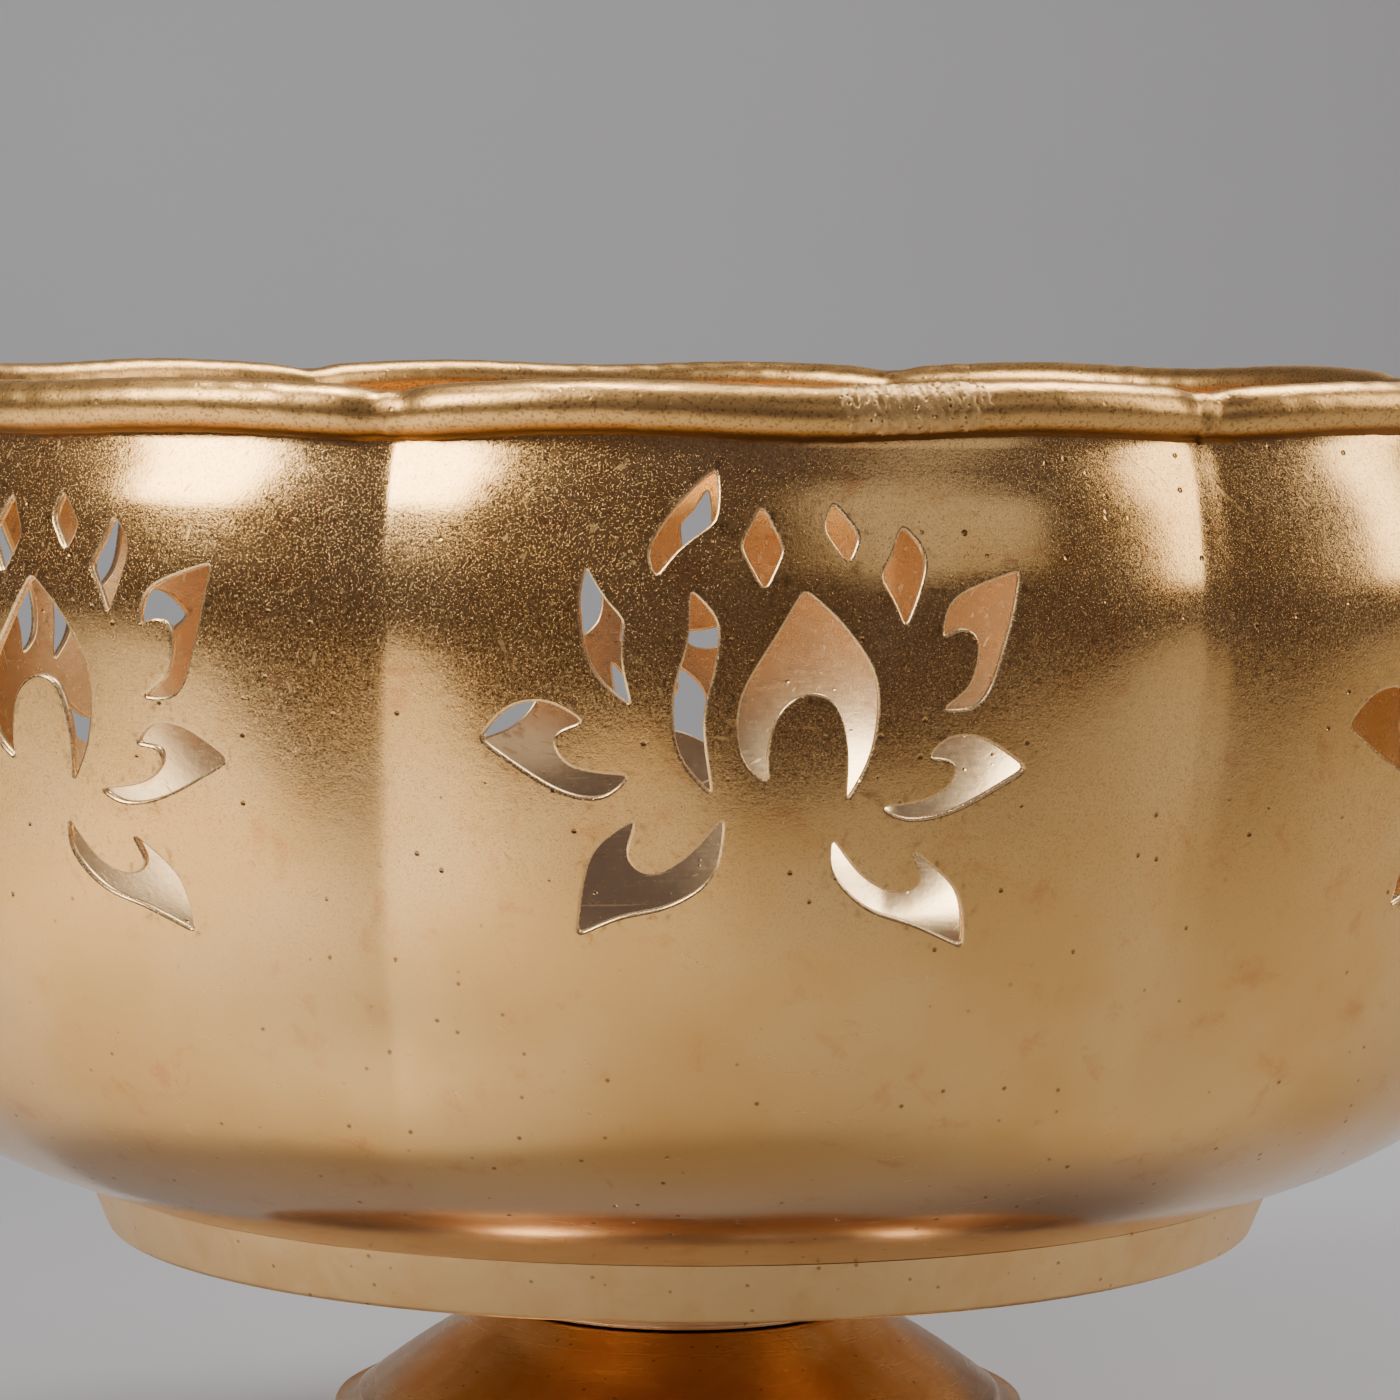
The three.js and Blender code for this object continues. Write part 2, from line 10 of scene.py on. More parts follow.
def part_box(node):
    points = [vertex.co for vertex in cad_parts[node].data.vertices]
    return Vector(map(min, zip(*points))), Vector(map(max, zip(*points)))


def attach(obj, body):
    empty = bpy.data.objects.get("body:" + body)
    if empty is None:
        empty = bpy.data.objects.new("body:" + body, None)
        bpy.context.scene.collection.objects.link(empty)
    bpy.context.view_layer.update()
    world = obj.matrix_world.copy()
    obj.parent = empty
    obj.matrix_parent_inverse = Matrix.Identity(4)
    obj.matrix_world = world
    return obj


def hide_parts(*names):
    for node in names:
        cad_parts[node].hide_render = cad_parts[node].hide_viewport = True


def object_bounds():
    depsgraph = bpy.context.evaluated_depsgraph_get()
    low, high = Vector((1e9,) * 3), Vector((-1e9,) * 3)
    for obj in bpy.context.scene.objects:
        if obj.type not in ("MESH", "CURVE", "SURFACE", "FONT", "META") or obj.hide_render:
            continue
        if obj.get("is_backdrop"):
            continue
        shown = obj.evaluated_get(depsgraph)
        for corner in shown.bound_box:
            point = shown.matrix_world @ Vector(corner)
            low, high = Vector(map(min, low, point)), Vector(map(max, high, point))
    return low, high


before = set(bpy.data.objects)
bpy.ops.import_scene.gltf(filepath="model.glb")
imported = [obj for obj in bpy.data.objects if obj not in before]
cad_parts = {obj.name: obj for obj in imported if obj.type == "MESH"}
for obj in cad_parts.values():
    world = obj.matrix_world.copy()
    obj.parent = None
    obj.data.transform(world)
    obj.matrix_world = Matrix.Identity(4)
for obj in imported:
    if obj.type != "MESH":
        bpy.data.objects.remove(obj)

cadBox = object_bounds()
mm = 0.001  # sizes below are in millimetres, meshes in metres
rng = np.random.default_rng(27)


def frameHeight(node, top=True):
    # a node's highest or lowest point, in millimetres
    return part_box(node)[1 if top else 0][2] / mm


rimTop = frameHeight("rim_cover")
seatTop = frameHeight("seat_hoop")
hoopFoot = frameHeight("seat_hoop", top=False)
baseUnder = frameHeight("bowl_shell", top=False)


def smoothStep(x, low, high):
    t = np.clip((x - low) / (high - low), 0, 1)
    return t * t * (3 - 2 * t)


def catmullRom(points, perSpan):
    # uniform Catmull-Rom curve through the points: on each span a cubic whose end slopes are half
    # the step between the points on either side
    p = np.asarray(points, float)
    p = np.vstack([p[:1], p, p[-1:]])
    t = (np.arange(perSpan) / perSpan)[None, :, None]
    a, b, c, d = (p[i : len(p) - 3 + i, None, :] for i in range(4))
    curve = 0.5 * (2 * b + (c - a) * t + (2 * a - 5 * b + 4 * c - d) * t**2 + (3 * b - a - 3 * c + d) * t**3)
    return np.vstack([curve.reshape(-1, p.shape[1]), p[-1:]])


def arcLength(line, closed=False):
    # running length along a line of points
    step = np.diff(np.vstack([line, line[:1]]) if closed else line, axis=0)
    return np.concatenate([[0], np.cumsum(np.linalg.norm(step, axis=1))])


def aroundAxis(radius, turn, height):
    # points at a radius and a height, turned from the front towards +X
    return np.stack(np.broadcast_arrays(radius * np.sin(turn), -radius * np.cos(turn), height), -1)


def makePiece(name, verts, faces, normals=None):
    # verts in millimetres, faces as one array of triangles or quads
    mesh = bpy.data.meshes.new(name)
    faces = np.asarray(faces, np.int32)
    count, corners = faces.shape
    mesh.vertices.add(len(verts))
    mesh.vertices.foreach_set("co", (np.asarray(verts) * mm).astype(np.float32).ravel())
    mesh.loops.add(count * corners)
    mesh.loops.foreach_set("vertex_index", faces.ravel())
    mesh.polygons.add(count)
    mesh.polygons.foreach_set("loop_start", np.arange(0, count * corners, corners, dtype=np.int32))
    mesh.update(calc_edges=True)
    mesh.polygons.foreach_set("use_smooth", np.full(count, True))
    if normals is not None:
        mesh.normals_split_custom_set_from_vertices(np.asarray(normals, np.float32))
    mesh.validate()
    piece = bpy.data.objects.new(name, mesh)
    bpy.context.scene.collection.objects.link(piece)
    return piece


def addAttribute(piece, name, values):
    layer = piece.data.attributes.new(name, "FLOAT", "POINT")
    layer.data.foreach_set("value", np.asarray(values, np.float32))


def gridFaces(rows, columns, wrapRows=False, wrapColumns=False):
    # quads of a rows x columns grid of points, wrapped round either way on request
    r = np.arange(rows if wrapRows else rows - 1)[:, None]
    c = np.arange(columns if wrapColumns else columns - 1)[None, :]
    nextRow, nextColumn = (r + 1) % rows, (c + 1) % columns
    here, beyond = r * columns, nextRow * columns
    corners = [here + c, here + nextColumn, beyond + nextColumn, beyond + c]
    return np.stack(np.broadcast_arrays(*corners), -1).reshape(-1, 4)


def finish(piece, body, slot, material, *nodes):
    piece.data.materials.append(material)
    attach(piece, body)
    if nodes:
        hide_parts(*nodes)
    print("made", piece.name, len(piece.data.polygons), "faces")


bowl = {
    "bellyRadius": 127,
    "bellyHeight": seatTop + 77,
    "wallTopRadius": 122.4,
    "shoulderRadius": 125.6,
    "shoulderHeight": rimTop - 16,
    "flankRadius": 123,
    "flankHeight": seatTop + 47.3,
    "hipRadius": 115,
    "hipHeight": seatTop + 27,
    "knuckleRadius": 107.5,
    "knuckleHeight": seatTop + 16,
    "underRadius": 96,
    "underHeight": seatTop + 7.2,
    "seatRadius": 79.2,
    "flatRadius": 62,
    "sheet": 1.2,
    "lobes": 8,
    "fluteDepth": [3.5, 3.3, 3.6, 3.2, 3.5, 3.4, 3.3, 3.4],  # crease left of each lobe, front lobe first
    "fluteFloor": [0.0, 1.3, 0.2, 0.8, 0.0, 0.6, 0.3, 0.9],  # half width of each crease's flat floor
    "fluteRound": [0.8, 1.1, 0.9, 1.2, 0.8, 1.0, 0.9, 1.1],  # rounding of each crease
    "fluteCurve": 2.6,  # each flank falls towards its crease as this power
    "fluteFull": seatTop + 35,
    "fluteEnd": seatTop + 15,
    "creaseLean": math.radians(1),
    "waves": 14,
    "waveHeight": 0.055,
    "cutTop": rimTop - 7.6,  # the lotus stays between these two heights
    "cutFoot": rimTop - 66,
    "cell": 2.4,  # grid step
    "edgeStep": 0.8,
    "bendWeight": 0.55,  # a sawn edge's points sit closer by this much for each radian it turns
    "netClear": 0.95,  # grid points keep this far from the sawn edges
    "bevel": 0.34,  # sawn edges are broken this far
    "cornerRound": 7,  # in steps of the outline
}
lobeAngle = 2 * math.pi / bowl["lobes"]
lobeWidth = lobeAngle * bowl["bellyRadius"]


def wallLine():
    # a Catmull-Rom curve from the bead down to the seat, then a parabola and a flat under the bowl
    b = bowl
    upright = [[b["wallTopRadius"], rimTop - 2.5], [b["wallTopRadius"], rimTop - 4.5]]
    curve = catmullRom(
        [
            [b["wallTopRadius"], rimTop - 6.5],
            [b["shoulderRadius"], b["shoulderHeight"]],
            [b["bellyRadius"], b["bellyHeight"]],
            [b["flankRadius"], b["flankHeight"]],
            [b["hipRadius"], b["hipHeight"]],
            [b["knuckleRadius"], b["knuckleHeight"]],
            [b["underRadius"], b["underHeight"]],
            [b["seatRadius"], seatTop + 0.3],
        ],
        80,
    )
    out = np.linspace(1, 0, 30)[1:, None]
    under = np.hstack(
        [
            b["flatRadius"] + (b["seatRadius"] - b["flatRadius"]) * out,
            baseUnder + (seatTop + 0.3 - baseUnder) * out**2,
        ]
    )
    line = np.vstack([upright, curve, under, [[0, baseUnder]]])
    along = arcLength(line)
    fine = np.arange(0, along[-1], 0.1)
    line = np.stack([np.interp(fine, along, line[:, i]) for i in range(2)], 1)
    kernel = np.exp(-0.5 * (np.arange(-30, 31) / 9.0) ** 2)  # takes the kinks out over about 2 mm
    padded = np.vstack([np.repeat(line[:1], 30, 0), line, np.repeat(line[-1:], 30, 0)])
    smooth = np.stack([np.convolve(padded[:, i], kernel / kernel.sum(), "valid") for i in range(2)], 1)
    smooth[:30], smooth[-30:] = line[:30], line[-30:]
    return fine, smooth


wallAlong, wallShape = wallLine()
handWaves = {
    "round": rng.integers(3, 34, bowl["waves"]),
    "down": rng.uniform(0.02, 0.16, bowl["waves"]) * rng.choice([-1, 1], bowl["waves"]),
    "phase": rng.uniform(0, 2 * math.pi, bowl["waves"]),
}


def handWave(turn, height):
    # the unevenness of hand-raised sheet: a sum of shallow waves that run round and down the wall
    w = handWaves
    wave = np.sin(w["round"] * turn[..., None] + w["down"] * height[..., None] + w["phase"])
    return bowl["waveHeight"] * wave.sum(-1)


def fluteInset(turn, height):
    # depth below the lobes' round: each half lobe rises from a rounded crease with a flat floor, as
    # a power of the distance from the lobe's middle, and the creases die out towards the hip
    fromMiddle = turn / lobeAngle - np.round(turn / lobeAngle)
    crease = np.mod(np.floor(turn / lobeAngle + 0.5) + (fromMiddle > 0), bowl["lobes"]).astype(int)
    depth, floor, rounding = (np.array(bowl[k])[crease] for k in ("fluteDepth", "fluteFloor", "fluteRound"))
    away = np.maximum((0.5 - np.abs(fromMiddle)) * lobeWidth - floor, 0)
    half = np.hypot(lobeWidth / 2 - floor, rounding) - rounding
    rise = (np.hypot(away, rounding) - rounding) / half
    strength = smoothStep(height, bowl["fluteEnd"], bowl["fluteFull"])
    return depth * strength * (1 - rise) ** bowl["fluteCurve"]


def creaseLean(height):
    return bowl["creaseLean"] * (1 - smoothStep(height, bowl["fluteEnd"], bowl["bellyHeight"]))


def wallPoint(turn, along):
    # turn is the angle from the front in lobes that lean with their creases, along the length down
    # the wall's line: radius from the line less the flute, plus the hand waves
    radius = np.interp(along, wallAlong, wallShape[:, 0])
    height = np.interp(along, wallAlong, wallShape[:, 1])
    keep = smoothStep(radius, 83, 104) * smoothStep(rimTop - height, 6, 14)
    radius = radius - fluteInset(turn, height) + keep * handWave(turn, height)
    angle = turn - creaseLean(height)
    return aroundAxis(radius, angle, height)


def wallFrame(turn, along):
    # outward normal and the two unit directions in the surface, from small steps either way
    step = 0.25
    radius = np.maximum(np.interp(along, wallAlong, wallShape[:, 0]), 1)
    aside = wallPoint(turn + step / radius, along) - wallPoint(turn - step / radius, along)
    after, before = np.minimum(along + step, wallAlong[-1]), np.maximum(along - step, 0)
    down = wallPoint(turn, after) - wallPoint(turn, before)
    aside /= np.linalg.norm(aside, axis=-1, keepdims=True)
    down /= np.maximum(np.linalg.norm(down, axis=-1, keepdims=True), 1e-9)
    normal = np.cross(down, aside)
    normal /= np.maximum(np.linalg.norm(normal, axis=-1, keepdims=True), 1e-9)
    return normal, aside, -down


def alongAt(height):
    # how far down the wall's line a height of the flutes' zone lies
    zone = wallShape[:, 1] > seatTop + 1
    return np.interp(-np.asarray(height), -wallShape[zone, 1], wallAlong[zone])


# Openings of one lotus. Each outline is a ring of strokes, and a stroke is a smooth curve through
# its points from one sharp corner to the next: [sideways from the lotus's middle line, up].
lotusHeight = rimTop - 38
frontLotusShift = -7
lotus = {
    "upperLeftLeaf": [
        [[-4.4, 28.5], [-4.2, 25.5], [-4.5, 22.6]],
        [[-4.5, 22.6], [-8.6, 19.6], [-11.2, 16.4]],
        [[-11.2, 16.4], [-11.8, 19.8], [-8.4, 24.9], [-4.4, 28.5]],
    ],
    "tallDiamond": [
        [[0.6, 24.5], [3.1, 19.7]],
        [[3.1, 19.7], [0.9, 15]],
        [[0.9, 15], [-1.8, 20]],
        [[-1.8, 20], [0.6, 24.5]],
    ],
    "smallDiamond": [
        [[8.5, 24.9], [11.6, 21.1]],
        [[11.6, 21.1], [10.2, 17.9]],
        [[10.2, 17.9], [7.5, 21.8]],
        [[7.5, 21.8], [8.5, 24.9]],
    ],
    "upperRightLeaf": [
        [[16.3, 22.3], [18.9, 18.4], [16.5, 10.9]],
        [[16.5, 10.9], [15.4, 13.8], [13.7, 16.7]],
        [[13.7, 16.7], [15.1, 19], [16.3, 22.3]],
    ],
    "upperRightCurl": [
        [[29.9, 17.3], [28.2, 9.6], [25.6, 2.7], [20.8, 1.8]],
        [[20.8, 1.8], [24.3, 4.8], [24.9, 9.8], [22.6, 10.9], [20.7, 9.7]],
        [[20.7, 9.7], [22.2, 14.2], [29.9, 17.3]],
    ],
    "rightCurl": [
        [[31.5, -4.9], [26, -1.5], [21.8, -1.3], [19.4, -3.5]],
        [[19.4, -3.5], [22.8, -4], [22.2, -6.6], [19, -8.3], [14.1, -8.9]],
        [[14.1, -8.9], [17.6, -10.3], [23.2, -9.2], [31.5, -4.9]],
    ],
    "lowerRightCurl": [
        [[8.8, -12.3], [9.2, -16.4], [13.2, -20.3], [19, -22.4], [25, -25.1]],
        [[25, -25.1], [23.6, -18.6], [18, -13.8]],
        [[18, -13.8], [19.5, -17.4], [16.6, -18.7], [12.5, -16.8], [8.8, -12.3]],
    ],
    "lowerLeftCurl": [
        [[-13.3, -10.3], [-14.4, -14.6], [-11.7, -16.6], [-7.6, -14.6], [-3.4, -10]],
        [[-3.4, -10], [-4.6, -16.4], [-9.2, -19.9], [-15.4, -21.5], [-20.2, -23.6]],
        [[-20.2, -23.6], [-18.4, -14.6], [-13.3, -10.3]],
    ],
    "leftCurl": [
        [[-31.2, -1.6], [-27.6, 1.9], [-23.2, 2.6], [-19, 0.5]],
        [[-19, 0.5], [-22.6, -1.1], [-21.4, -4.1], [-18.3, -5.1], [-13.9, -5.4]],
        [[-13.9, -5.4], [-17.3, -7.9], [-22.6, -6.9], [-31.2, -1.6]],
    ],
    "upperLeftCrescent": [
        [[-19, 17.8], [-16.8, 14.2], [-14.5, 11.7]],
        [[-14.5, 11.7], [-14.9, 7.4], [-13.8, 2.2]],
        [[-13.8, 2.2], [-18.1, 6.4], [-19.6, 13], [-19, 17.8]],
    ],
    "innerStrip": [
        [[-7.4, 15.3], [-4.3, 11.6], [-4.6, 6.6], [-5.8, 0.4], [-4.8, -7.5]],
        [[-4.8, -7.5], [-8.4, -3], [-9.1, 3.2], [-7.5, 9.8], [-7.4, 15.3]],
    ],
    "flame": [
        [[5.2, 15.3], [9.8, 10.9], [13.3, 5], [13, -2.6], [10.3, -8.3]],
        [[10.3, -8.3], [10.3, -2.2], [8.8, 2.7], [5.6, 3.8], [2.5, 1.5], [1.3, -3], [1.5, -6.3]],
        [[1.5, -6.3], [-1.5, -3.2], [-1.6, 3.2], [2.4, 10.4], [5.2, 15.3]],
    ],
}


def resample(ring, steps):
    # closed ring with that many evenly spaced points
    along = arcLength(ring, closed=True)
    closed = np.vstack([ring, ring[:1]])
    places = np.arange(steps) * along[-1] / steps
    return np.stack([np.interp(places, along, closed[:, i]) for i in range(2)], 1)


def sawnOutline(strokes):
    # the strokes joined, their corners rounded by a running average, and points set closer where
    # the outline turns; runs anticlockwise
    ring = np.vstack([catmullRom(stroke, 24)[:-1] for stroke in strokes])
    ring = resample(ring, int(arcLength(ring, closed=True)[-1] / 0.1))
    reach = 3 * bowl["cornerRound"]
    kernel = np.exp(-0.5 * (np.arange(-reach, reach + 1) / bowl["cornerRound"]) ** 2)
    around = np.vstack([ring[-reach:], ring, ring[:reach]])
    ring = np.stack([np.convolve(around[:, i], kernel / kernel.sum(), "valid") for i in range(2)], 1)
    x, y = ring.T
    if np.sum(x * np.roll(y, -1) - y * np.roll(x, -1)) < 0:
        ring = ring[::-1]
    edge = np.roll(ring, -1, 0) - ring
    heading = np.unwrap(np.arctan2(edge[:, 1], edge[:, 0]))
    bending = np.abs(np.diff(np.append(heading, heading[0] + 2 * math.pi)))
    weight = np.linalg.norm(edge, axis=1) + bowl["bendWeight"] * bending
    running = np.concatenate([[0], np.cumsum(weight)])
    steps = int(running[-1] / bowl["edgeStep"])
    places = np.arange(steps) * running[-1] / steps
    closed = np.vstack([ring, ring[:1]])
    return np.stack([np.interp(places, running, closed[:, i]) for i in range(2)], 1)


def outwardOf(ring):
    # unit direction away from the opening at each point of an anticlockwise ring
    along = np.roll(ring, -1, 0) - np.roll(ring, 1, 0)
    along /= np.linalg.norm(along, axis=1, keepdims=True)
    return np.stack([along[:, 1], -along[:, 0]], 1)


def isInside(points, ring):
    # even-odd rule
    x, y = points[:, :1], points[:, 1:]
    x1, y1 = ring.T
    x2, y2 = np.roll(ring, -1, 0).T
    with np.errstate(divide="ignore", invalid="ignore"):
        crosses = ((y1 > y) != (y2 > y)) & (x < (x2 - x1) * (y - y1) / (y2 - y1) + x1)
    return crosses.sum(1) % 2 == 1


def lobeColumns():
    # grid lines across one lobe, closer beside the creases
    near = np.array([0, 0.7, 1.5, 2.5, 3.9])
    middle = np.linspace(-lobeWidth / 2 + 5.9, lobeWidth / 2 - 5.9, int(lobeWidth / bowl["cell"]) - 4)
    return np.concatenate([-lobeWidth / 2 + near, middle, lobeWidth / 2 - near[::-1]])


def piercedPanel(shift):
    # one lobe laid flat, sideways by up, in a triangle net that leaves the openings out
    rings = []
    for strokes in lotus.values():
        ring = sawnOutline(strokes) + [shift, lotusHeight]
        ring[:, 0] += bowl["bellyRadius"] * creaseLean(ring[:, 1])
        rings.append(ring)
    brims = [ring + outwardOf(ring) * bowl["bevel"] for ring in rings]
    low, high = bowl["cutFoot"], bowl["cutTop"]
    rows = np.linspace(low, high, int((high - low) / bowl["cell"]))
    columns = lobeColumns()
    grid = np.stack(np.meshgrid(columns, rows), -1).reshape(-1, 2)
    allBrims = np.vstack(brims)
    nearest = np.min(np.linalg.norm(grid[:, None] - allBrims[None], axis=2), axis=1)
    clear = nearest > bowl["netClear"]
    for brim in brims:
        clear &= ~isInside(grid, brim)
    points = np.vstack([allBrims, grid[clear]])
    edges, start = [], 0
    for brim in brims:
        index = start + np.arange(len(brim))
        edges.extend(zip(index.tolist(), np.roll(index, -1).tolist()))
        start += len(brim)
    result = delaunay_2d_cdt([Vector(p) for p in points.tolist()], edges, [], 0, 1e-5)
    flat = np.array([v[:] for v in result[0]])
    faces = np.array(result[2])
    place = {first: i for i, source in enumerate(result[3]) for first in source}
    centres = flat[faces].mean(1)
    keep = np.full(len(faces), True)
    for brim in brims:
        keep &= ~isInside(centres, brim)
    faces = faces[keep]
    a, b, c = (flat[faces[:, i]] for i in range(3))
    clockwise = np.cross(b - a, c - a) < 0
    faces[clockwise] = faces[clockwise][:, ::-1]
    brimIndex = np.array([place[i] for i in range(len(allBrims))])
    distance = np.min(np.linalg.norm(flat[:, None] - allBrims[None], axis=2), axis=1)
    return flat, faces, rings, brimIndex, distance


def bowlShell():
    # both faces of every lobe's panel, the turned-over sawn edges that join them, plain rows above
    # and below, and a pole in the middle of the flat
    turns, alongs, depths, tilts, aways, wear = [], [], [], [], [], []
    faces = []
    total = 0

    def addPoints(flat, depth, tilt, away=None, worn=0.0):
        nonlocal total
        turns.append(flat[:, 0])
        alongs.append(flat[:, 1])
        depths.append(np.full(len(flat), depth))
        tilts.append(np.full(len(flat), tilt))
        aways.append(np.zeros((len(flat), 2)) if away is None else away)
        wear.append(np.broadcast_to(worn, (len(flat),)).astype(float))
        first = total
        total += len(flat)
        return first

    def onWall(flat, middle):
        return np.stack([middle + flat[:, 0] / bowl["bellyRadius"], alongAt(flat[:, 1])], 1)

    sheet = bowl["sheet"]
    panels = {shift: piercedPanel(shift) for shift in (frontLotusShift, 0)}
    for lobe in range(bowl["lobes"]):
        flat, net, rings, brimIndex, distance = panels[frontLotusShift if lobe == 0 else 0]
        middle = lobe * lobeAngle
        outer = addPoints(onWall(flat, middle), 0, 1, worn=distance)
        inner = addPoints(onWall(flat, middle), sheet, -1, worn=distance)
        faces.append(net + outer)
        faces.append(net[:, ::-1] + inner)
        begin = 0
        for ring in rings:
            size = len(ring)
            brim = brimIndex[begin : begin + size]
            begin += size
            inward = -outwardOf(ring)
            strips = [brim + outer]
            for depth, tilt, reach in ((0.12, 0.8, 0), (sheet / 2, 0, 0.06), (sheet - 0.16, -0.72, 0)):
                facing = inward * (1 - abs(tilt) * 0.4)
                first = addPoints(onWall(ring + inward * reach, middle), depth, tilt, facing, -1)
                strips.append(first + np.arange(size))
            strips.append(brim + inner)
            for upper, lower in zip(strips, strips[1:]):
                following, below = np.roll(upper, -1), np.roll(lower, -1)
                faces.append(np.stack([upper, below, lower], 1))
                faces.append(np.stack([upper, following, below], 1))
    columns = np.concatenate([lobeColumns()[:-1] + lobe * lobeWidth for lobe in range(bowl["lobes"])])
    columnTurns = columns / bowl["bellyRadius"]
    netFoot, seatAlong = alongAt(bowl["cutFoot"]), alongAt(seatTop + 1.5)
    lowRows = [
        np.linspace(netFoot, seatAlong, int((seatAlong - netFoot) / bowl["cell"])),
        np.linspace(seatAlong, seatAlong + 22, 9)[1:],
        np.linspace(seatAlong + 22, wallAlong[-1] - 1.5, 8)[1:],
    ]
    topRows = np.linspace(0, alongAt(bowl["cutTop"]), 4)
    for rows in (topRows, np.concatenate(lowRows)):
        table = np.stack(np.meshgrid(columnTurns, rows), -1).reshape(-1, 2)
        quads = gridFaces(len(rows), len(columnTurns), wrapColumns=True)
        triangles = np.vstack([quads[:, [0, 3, 2]], quads[:, [0, 2, 1]]])
        outer = addPoints(table, 0, 1, worn=20)
        inner = addPoints(table, sheet, -1, worn=20)
        faces.append(triangles + outer)
        faces.append(triangles[:, ::-1] + inner)
        ringSize = len(columnTurns)
        if rows is topRows:
            up, down = outer + np.arange(ringSize), inner + np.arange(ringSize)
            faces.append(np.stack([up, np.roll(up, -1), np.roll(down, -1)], 1))
            faces.append(np.stack([up, np.roll(down, -1), down], 1))
        else:
            lastRow = (len(rows) - 1) * ringSize + np.arange(ringSize)
            pole = np.array([[0, wallAlong[-1]]])
            for side, depth, tilt in ((outer, 0, 1), (inner, sheet, -1)):
                centre = addPoints(pole, depth, tilt, worn=20)
                here, beside = side + lastRow, side + np.roll(lastRow, -1)
                fan = np.stack([here, np.full(ringSize, centre), beside], 1)
                faces.append(fan if tilt > 0 else fan[:, ::-1])

    turn, along = np.concatenate(turns), np.concatenate(alongs)
    depth, tilt = np.concatenate(depths)[:, None], np.concatenate(tilts)[:, None]
    away, worn = np.vstack(aways), np.concatenate(wear)
    normal, aside, up = wallFrame(turn, along)
    nearPole = along > wallAlong[-1] - 1
    normal[nearPole] = [0, 0, -1]
    verts = wallPoint(turn, along) - normal * depth
    verts[nearPole, :2] = 0
    normals = normal * tilt + aside * away[:, :1] + up * away[:, 1:]
    normals /= np.linalg.norm(normals, axis=1, keepdims=True)
    _, first, inverse = np.unique(np.round(verts, 3), axis=0, return_index=True, return_inverse=True)
    net = inverse.reshape(-1)[np.vstack(faces)]
    net = net[(net[:, 0] != net[:, 1]) & (net[:, 1] != net[:, 2]) & (net[:, 2] != net[:, 0])]
    piece = makePiece("urliBowl", verts[first], net, normals[first])
    addAttribute(piece, "edgeDistance", np.clip(worn[first], 0, 20))
    addAttribute(piece, "sawnEdge", worn[first] < 0)
    addAttribute(piece, "inside", tilt[first, 0] < 0)
    return piece


bead = {
    "radius": 2.95,
    "bore": 2.15,
    "outOfWall": 0.5,  # centre outside the wall's outer face
    "rows": 720,
    "lip": 0.35,  # folded edge below the bead
    "lipAtCrease": 0.95,
    "lipWidth": 3.2,
    "pinch": 0.9,  # squeezed in at each crease
    "pinchWidth": 3.2,
    "ridge": 0.45,  # sheet gathered up along each crease
    "ridgeWidth": 0.9,
    "dip": 0.4,  # sinks at each crease
    "dipWidth": 5,
    "hump": 0.33,  # rises twice in each lobe
    "dents": 14,
    "dentHeight": 0.010,
    "roll": 0.18,  # slow rise and fall of the rim
    "seamTurn": math.radians(4.9),
    "brazeReach": 11,
    "brazeHeight": 0.16,
}


def fromCrease(turn):
    # distance round the rim to the nearest crease
    part = turn / lobeAngle - np.floor(turn / lobeAngle)
    return np.abs(part - 0.5) * lobeAngle * bowl["wallTopRadius"]


def nearCrease(turn, width):
    # a bell curve: one at each crease, fading over that width
    return np.exp(-((fromCrease(turn) / width) ** 2))


def rimRise(turn):
    # hand-rolled rim: slow waves, two humps in each lobe, and a dip at every crease
    wave = np.sin(3 * turn + 0.8) + 0.8 * np.sin(5 * turn + 2.1) + 0.7 * np.sin(11 * turn + 4.0)
    humps = bead["hump"] * (1 + np.cos(2 * bowl["lobes"] * turn)) + 0.2 * bead["hump"]
    return bead["roll"] * wave / 2 - humps - bead["dip"] * nearCrease(turn, bead["dipWidth"])


def beadCentre(turn):
    wall = bowl["wallTopRadius"] - fluteInset(turn, np.full_like(turn, rimTop))
    squeeze = bead["pinch"] * nearCrease(turn, bead["pinchWidth"])
    return wall + bead["outOfWall"] - 0.6 * squeeze, rimTop - bead["radius"] + rimRise(turn)


beadDents = {
    "round": rng.integers(30, 190, bead["dents"]),
    "over": rng.integers(1, 4, bead["dents"]),
    "phase": rng.uniform(0, 2 * math.pi, bead["dents"]),
}


def beadRadiusAt(turn, over):
    # the tube's radius at an angle round the rim and an angle over the tube: planishing dents and
    # the pinch at each crease
    d = beadDents
    dents = np.sin(d["round"] * turn[..., None] + d["over"] * over[..., None] + d["phase"]).sum(-1)
    squeeze = bead["pinch"] * nearCrease(turn, bead["pinchWidth"])
    ridge = bead["ridge"] * nearCrease(turn, bead["ridgeWidth"]) * smoothStep(np.cos(over), -0.2, 0.6)
    return bead["radius"] + bead["dentHeight"] * dents - 0.5 * squeeze + ridge


